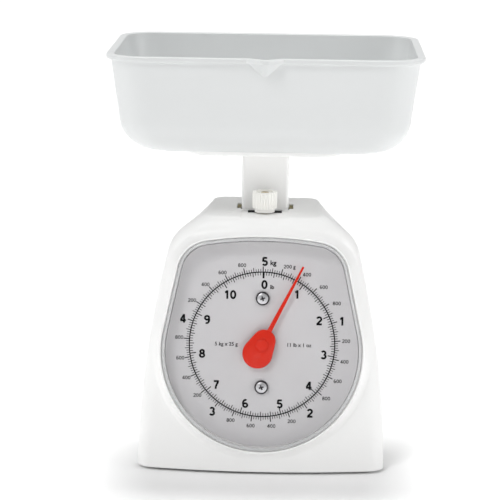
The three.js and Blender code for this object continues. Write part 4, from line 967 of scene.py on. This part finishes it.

# Lens: a shallow dish moulded in clear plastic, seated in the housing's frame, with a rounded edge
# all round. Its edge band is light as a painted highlight and its inner wall dark grey as painted shade.
clear_plastic = Finish("clear_plastic", shade(214, 216, 218), 0.06, IOR=1.49)
glance = clear_plastic.node("ShaderNodeLayerWeight", None, {"Blend": 0.12}, "Fresnel")
scuff = clear_plastic.noise(120.0, 4.0)
clear_plastic.vary(Alpha=0.006 + glance * 0.25, Roughness=0.04 + scuff * 0.05)
# Light, partly opaque edge band: a painted highlight for light caught in the lens's rounded edge.
lens_edge_highlight = Finish("painted_highlight_lens_edge", shade(236, 237, 238), 0.12, IOR=1.49)
highlight_facing = lens_edge_highlight.node("ShaderNodeLayerWeight", None, {"Blend": 0.35}, "Facing")
lens_edge_highlight.vary(Alpha=0.45 + highlight_facing * 0.4, Roughness=0.1 + lens_edge_highlight.noise(120.0) * 0.05)
# Dark grey, partly opaque inner wall: painted shade for the dark line of the lens's wall.
lens_skirt_shade = Finish("painted_shade_lens_skirt", shade(132, 131, 133), 0.15, IOR=1.49)
lens_skirt_shade.vary(Alpha=0.55 + lens_skirt_shade.noise(90.0) * 0.2, Roughness=0.12 + lens_skirt_shade.noise(120.0) * 0.05)
LENS_FRONT = 10.8
LENS_BACK = 6.6
SKIRT_PROFILE = ((-2.5, 9.2), (-1.7, LENS_BACK))
EDGE_PROFILE = ((0, LENS_BACK), (0, 9.1), (-0.2, 9.55), (-0.7, 9.85))
CROWN_PROFILE = ((-1.7, 10.12), (-3, 10.42), (-5, 10.68), (-8, LENS_FRONT))
lens_rings = [level_ring(grow, s) for grow, s in SKIRT_PROFILE + EDGE_PROFILE + CROWN_PROFILE]
lens = loft("clear_lens", lens_rings)
smooth(to_dial(lens), 40.0)
fit(lens, "housing", "clear_plastic", clear_plastic, "lens")
lens.data.materials.append(lens_edge_highlight.material)
lens.data.materials.append(lens_skirt_shade.material)
clear_from = len(SKIRT_PROFILE + EDGE_PROFILE)
# The inner wall takes the painted shade, the edge band the painted highlight, the crown the clear plastic.
for face in lens.data.polygons:
    band = face.index // len(lens_rings[0])
    face.material_index = 2 if band == 0 else 1 if band < clear_from else 0

# Column: a hollow white post with rounded corners, screwed to its bracket below and to the
# platform above. It slides in the housing's top.
COLUMN_LOW = 118.0
COLUMN_HIGH = 209.7
COLUMN_LENGTH = COLUMN_HIGH - COLUMN_LOW
COLUMN_WIDTH, COLUMN_DEPTH = 31.4, 20
COLUMN_WALL, COLUMN_CAP = 2.4, 5
COLUMN_CORNER, COLUMN_EDGE = 2.5, 0.5


def upright(length):
    """A test for edges that rise by more than a length in mm."""
    return lambda edge: abs(edge.verts[0].co.z - edge.verts[1].co.z) > length * MM


post_middle = (0, COLUMN_Y, (COLUMN_LOW + COLUMN_HIGH) / 2)
post = add("cube", "column_post", post_middle, (COLUMN_WIDTH, COLUMN_DEPTH, COLUMN_LENGTH), size=1)
with editing(post):
    pick("edges", upright(10))
    bevel(COLUMN_CORNER, 6)
    pick("faces", flat_at(COLUMN_LOW))
    inset(COLUMN_WALL)
    extrude(z=COLUMN_LENGTH - COLUMN_CAP)
    pick("edges", rim_at(COLUMN_HIGH))
    bevel(COLUMN_EDGE, 3)
smooth(post)
fit(post, "carriage", "white_plastic", white_plastic, "column")

# Platform: a white plate with rounded corners and edges. Two screws, sunk in seats in its top,
# hold it on the column, and it carries the tray.
PLATE_LOW = COLUMN_HIGH
PLATE_HIGH = 213.2
PLATE_SIZE = (100, 80, PLATE_HIGH - PLATE_LOW)
PLATE_CORNER = 12
LOWER_EDGE, UPPER_EDGE = 1.0, 0.4
SEAT_X, SEAT_RADIUS, SEAT_DEPTH = 9, 3.6, 1.8
plate = add("cube", "platform_plate", (0, COLUMN_Y, (PLATE_LOW + PLATE_HIGH) / 2), PLATE_SIZE, size=1)
with editing(plate):
    pick("edges", upright(1))
    bevel(PLATE_CORNER, 8)
    pick("edges", rim_at(PLATE_LOW))
    bevel(LOWER_EDGE, 4)
    pick("edges", rim_at(PLATE_HIGH))
    bevel(UPPER_EDGE, 2)
for x in (-SEAT_X, SEAT_X):
    place = (x, COLUMN_Y, PLATE_HIGH)
    carve(plate, add("cylinder", "screw_seat", place, vertices=32, radius=SEAT_RADIUS, depth=2 * SEAT_DEPTH))
smooth(plate)
fit(plate, "carriage", "white_plastic", white_plastic, "platform")

# Zero knob: an ivory moulding with a ribbed grip, a plain collar below and a hollow top in which
# the end of the brass zero screw shows.
ivory_plastic = moulded_plastic("ivory_plastic", shade(255, 254, 250), 0.4)
KNOB_LOW = 172.0
KNOB_HIGH = 183.0
KNOB_RADIUS = 8.25
KNOB_MARGIN, KNOB_WALL, KNOB_EDGE = 1.3, 1.4, 0.35
HOLLOW_DEPTH = 1.2
COLLAR_STEP, COLLAR_HEIGHT = 1.55, 2.7
RIBS = 28
RIBBED_FROM, ROUNDED_FROM = 7.5, 7.0
GROOVE = (0.93, 0.93, 1)
knob_middle = (0, 0, (KNOB_LOW + KNOB_HIGH) / 2)
knob_height = KNOB_HIGH - KNOB_LOW
knob = add("cylinder", "ribbed_knob", knob_middle, vertices=4 * RIBS, radius=KNOB_RADIUS, depth=knob_height)


def in_groove(vert):
    """The middle one of the four corners of each rib, on the knob's outside."""
    turn = math.atan2(vert.co.y, vert.co.x) / (2 * math.pi) * RIBS
    return vert.co.xy.length > RIBBED_FROM * MM and 0.4 < turn % 1.0 < 0.6


with editing(knob):
    pick("faces", flat_at(KNOB_HIGH))
    inset(KNOB_MARGIN)
    pick("faces", flat_at(KNOB_LOW))
    inset(COLLAR_STEP)
    extrude(z=-COLLAR_HEIGHT)
    pick("verts", in_groove)
    bpy.ops.transform.resize(value=GROOVE, center_override=(0, 0, 0))
    pick("faces", lambda face: flat_at(KNOB_HIGH)(face) and len(face.verts) > 4)
    inset(KNOB_WALL)
    extrude(z=-HOLLOW_DEPTH)
    pick("edges", rim_at(KNOB_HIGH, ROUNDED_FROM))
    bevel(KNOB_EDGE, 2)
knob.data.transform(at(0, ZERO_Y, 0))
smooth(knob, 30.0)
fit(knob, "zero_adjuster", "ivory_plastic", ivory_plastic, "zero_knob")
dress(turned_brass, "zero_screw")

# Tray: one deep white moulding with rounded corners and foot, a lip all round and a pouring spout
# pressed out of the front. It lifts off the platform.
TRAY_LOW = PLATE_HIGH
TRAY_HIGH = 278.2
TRAY_WALL = 2.2
UNDER_LIP = 275.0
LIP_WIDTH, LIP_EDGE = 3.0, 0.8
WALL_LEVELS = [262, 255, 247]
FOOT_BEND = 25.0
FOOT_BEND_STEPS = 10
DRAFT = 5.0
RIM_X, RIM_Y = 100.0, 74.0
RIM_CORNER = 23.0
RIM_STEPS = 49
SPOUT_NOSE = (RIM_X - RIM_CORNER) / RIM_STEPS
SPOUT_FACET = 6 * SPOUT_NOSE
SPOUT_DROP = 8.5
SPOUT_REACH = 7.0
# The tray's white is darker than the housing's white plastic: painted shade for the lower light on its
# walls.
tray_plastic = moulded_plastic("tray_plastic", shade(222, 224, 224), 0.36)
tray = add("plane", "white_tray", (0, COLUMN_Y, TRAY_HIGH), (2 * RIM_X, 2 * RIM_Y, 1), size=1)
with editing(tray):
    pick("verts", lambda vert: True)
    bevel(RIM_CORNER, 10, "VERTICES")
    pick("edges", lambda edge: (edge.verts[0].co - edge.verts[1].co).length > 50 * MM)
    bpy.ops.mesh.subdivide(number_cuts=RIM_STEPS - 1)


def press_spout(shape):
    """Two flat facets beside a narrow nose, pressed out of the front under the rim."""
    for vert in shape.verts:
        aside = max(0.0, abs(vert.co.x) / MM - SPOUT_NOSE) / SPOUT_FACET
        below = max(0.0, UNDER_LIP - vert.co.z / MM) / SPOUT_DROP
        if vert.co.y < 0:
            vert.co.y -= SPOUT_REACH * MM * max(0.0, 1 - aside - below)


def on_spout(face):
    middle = face.calc_center_median() / MM
    return middle.y < 0 and abs(middle.x) < SPOUT_NOSE + SPOUT_FACET and middle.z > UNDER_LIP - SPOUT_DROP


spout_levels = [UNDER_LIP - SPOUT_DROP * i / 3 for i in range(4)]
wall_slope = DRAFT / (UNDER_LIP - TRAY_LOW - FOOT_BEND)
tray_levels = [(z, wall_slope * (UNDER_LIP - z)) for z in spout_levels + WALL_LEVELS]
for i in range(FOOT_BEND_STEPS + 1):
    angle = math.radians(90.0 / FOOT_BEND_STEPS * i)
    level = TRAY_LOW + FOOT_BEND * (1 - math.sin(angle))
    room = DRAFT + FOOT_BEND * (1 - math.cos(angle))
    tray_levels.append((level, room))
with editing(tray):
    bpy.ops.mesh.select_all(action="SELECT")
    z, margin = TRAY_HIGH, 0.0
    for level, room in tray_levels:
        extrude(z=level - z)
        share = ((RIM_X - room) / (RIM_X - margin), (RIM_Y - room) / (RIM_Y - margin), 1)
        bpy.ops.transform.resize(value=share, center_override=(0, COLUMN_Y * MM, level * MM))
        z, margin = level, room
    pick("faces", flat_at(TRAY_HIGH))
    bpy.ops.mesh.delete(type="FACE")
    bpy.ops.mesh.select_all(action="SELECT")
    bpy.ops.mesh.normals_make_consistent(inside=False)
    press_spout(bmesh.from_edit_mesh(tray.data))
    bmesh.update_edit_mesh(tray.data)
    pick("faces", on_spout)
    bpy.ops.mesh.quads_convert_to_tris(quad_method="SHORTEST_DIAGONAL")
modify(tray, "SOLIDIFY", thickness=TRAY_WALL * MM, offset=-1.0, use_even_offset=True)


def lip_face(face):
    """The outward faces of the rim, which the lip grows from."""
    middle = face.calc_center_median()
    outward = face.normal.x * middle.x + face.normal.y * (middle.y - COLUMN_Y * MM)
    return middle.z / MM > UNDER_LIP + 0.5 and abs(face.normal.z) < 0.5 and outward > 0


with editing(tray):
    pick("faces", lip_face)
    bpy.ops.mesh.extrude_region_shrink_fatten(TRANSFORM_OT_shrink_fatten={"value": LIP_WIDTH * MM})
modify(tray, "BEVEL", width=LIP_EDGE * MM, segments=3, limit_method="ANGLE", angle_limit=math.radians(50.0))
smooth(tray, 24.0)
fit(tray, "pan", "tray_plastic", tray_plastic, "tray")
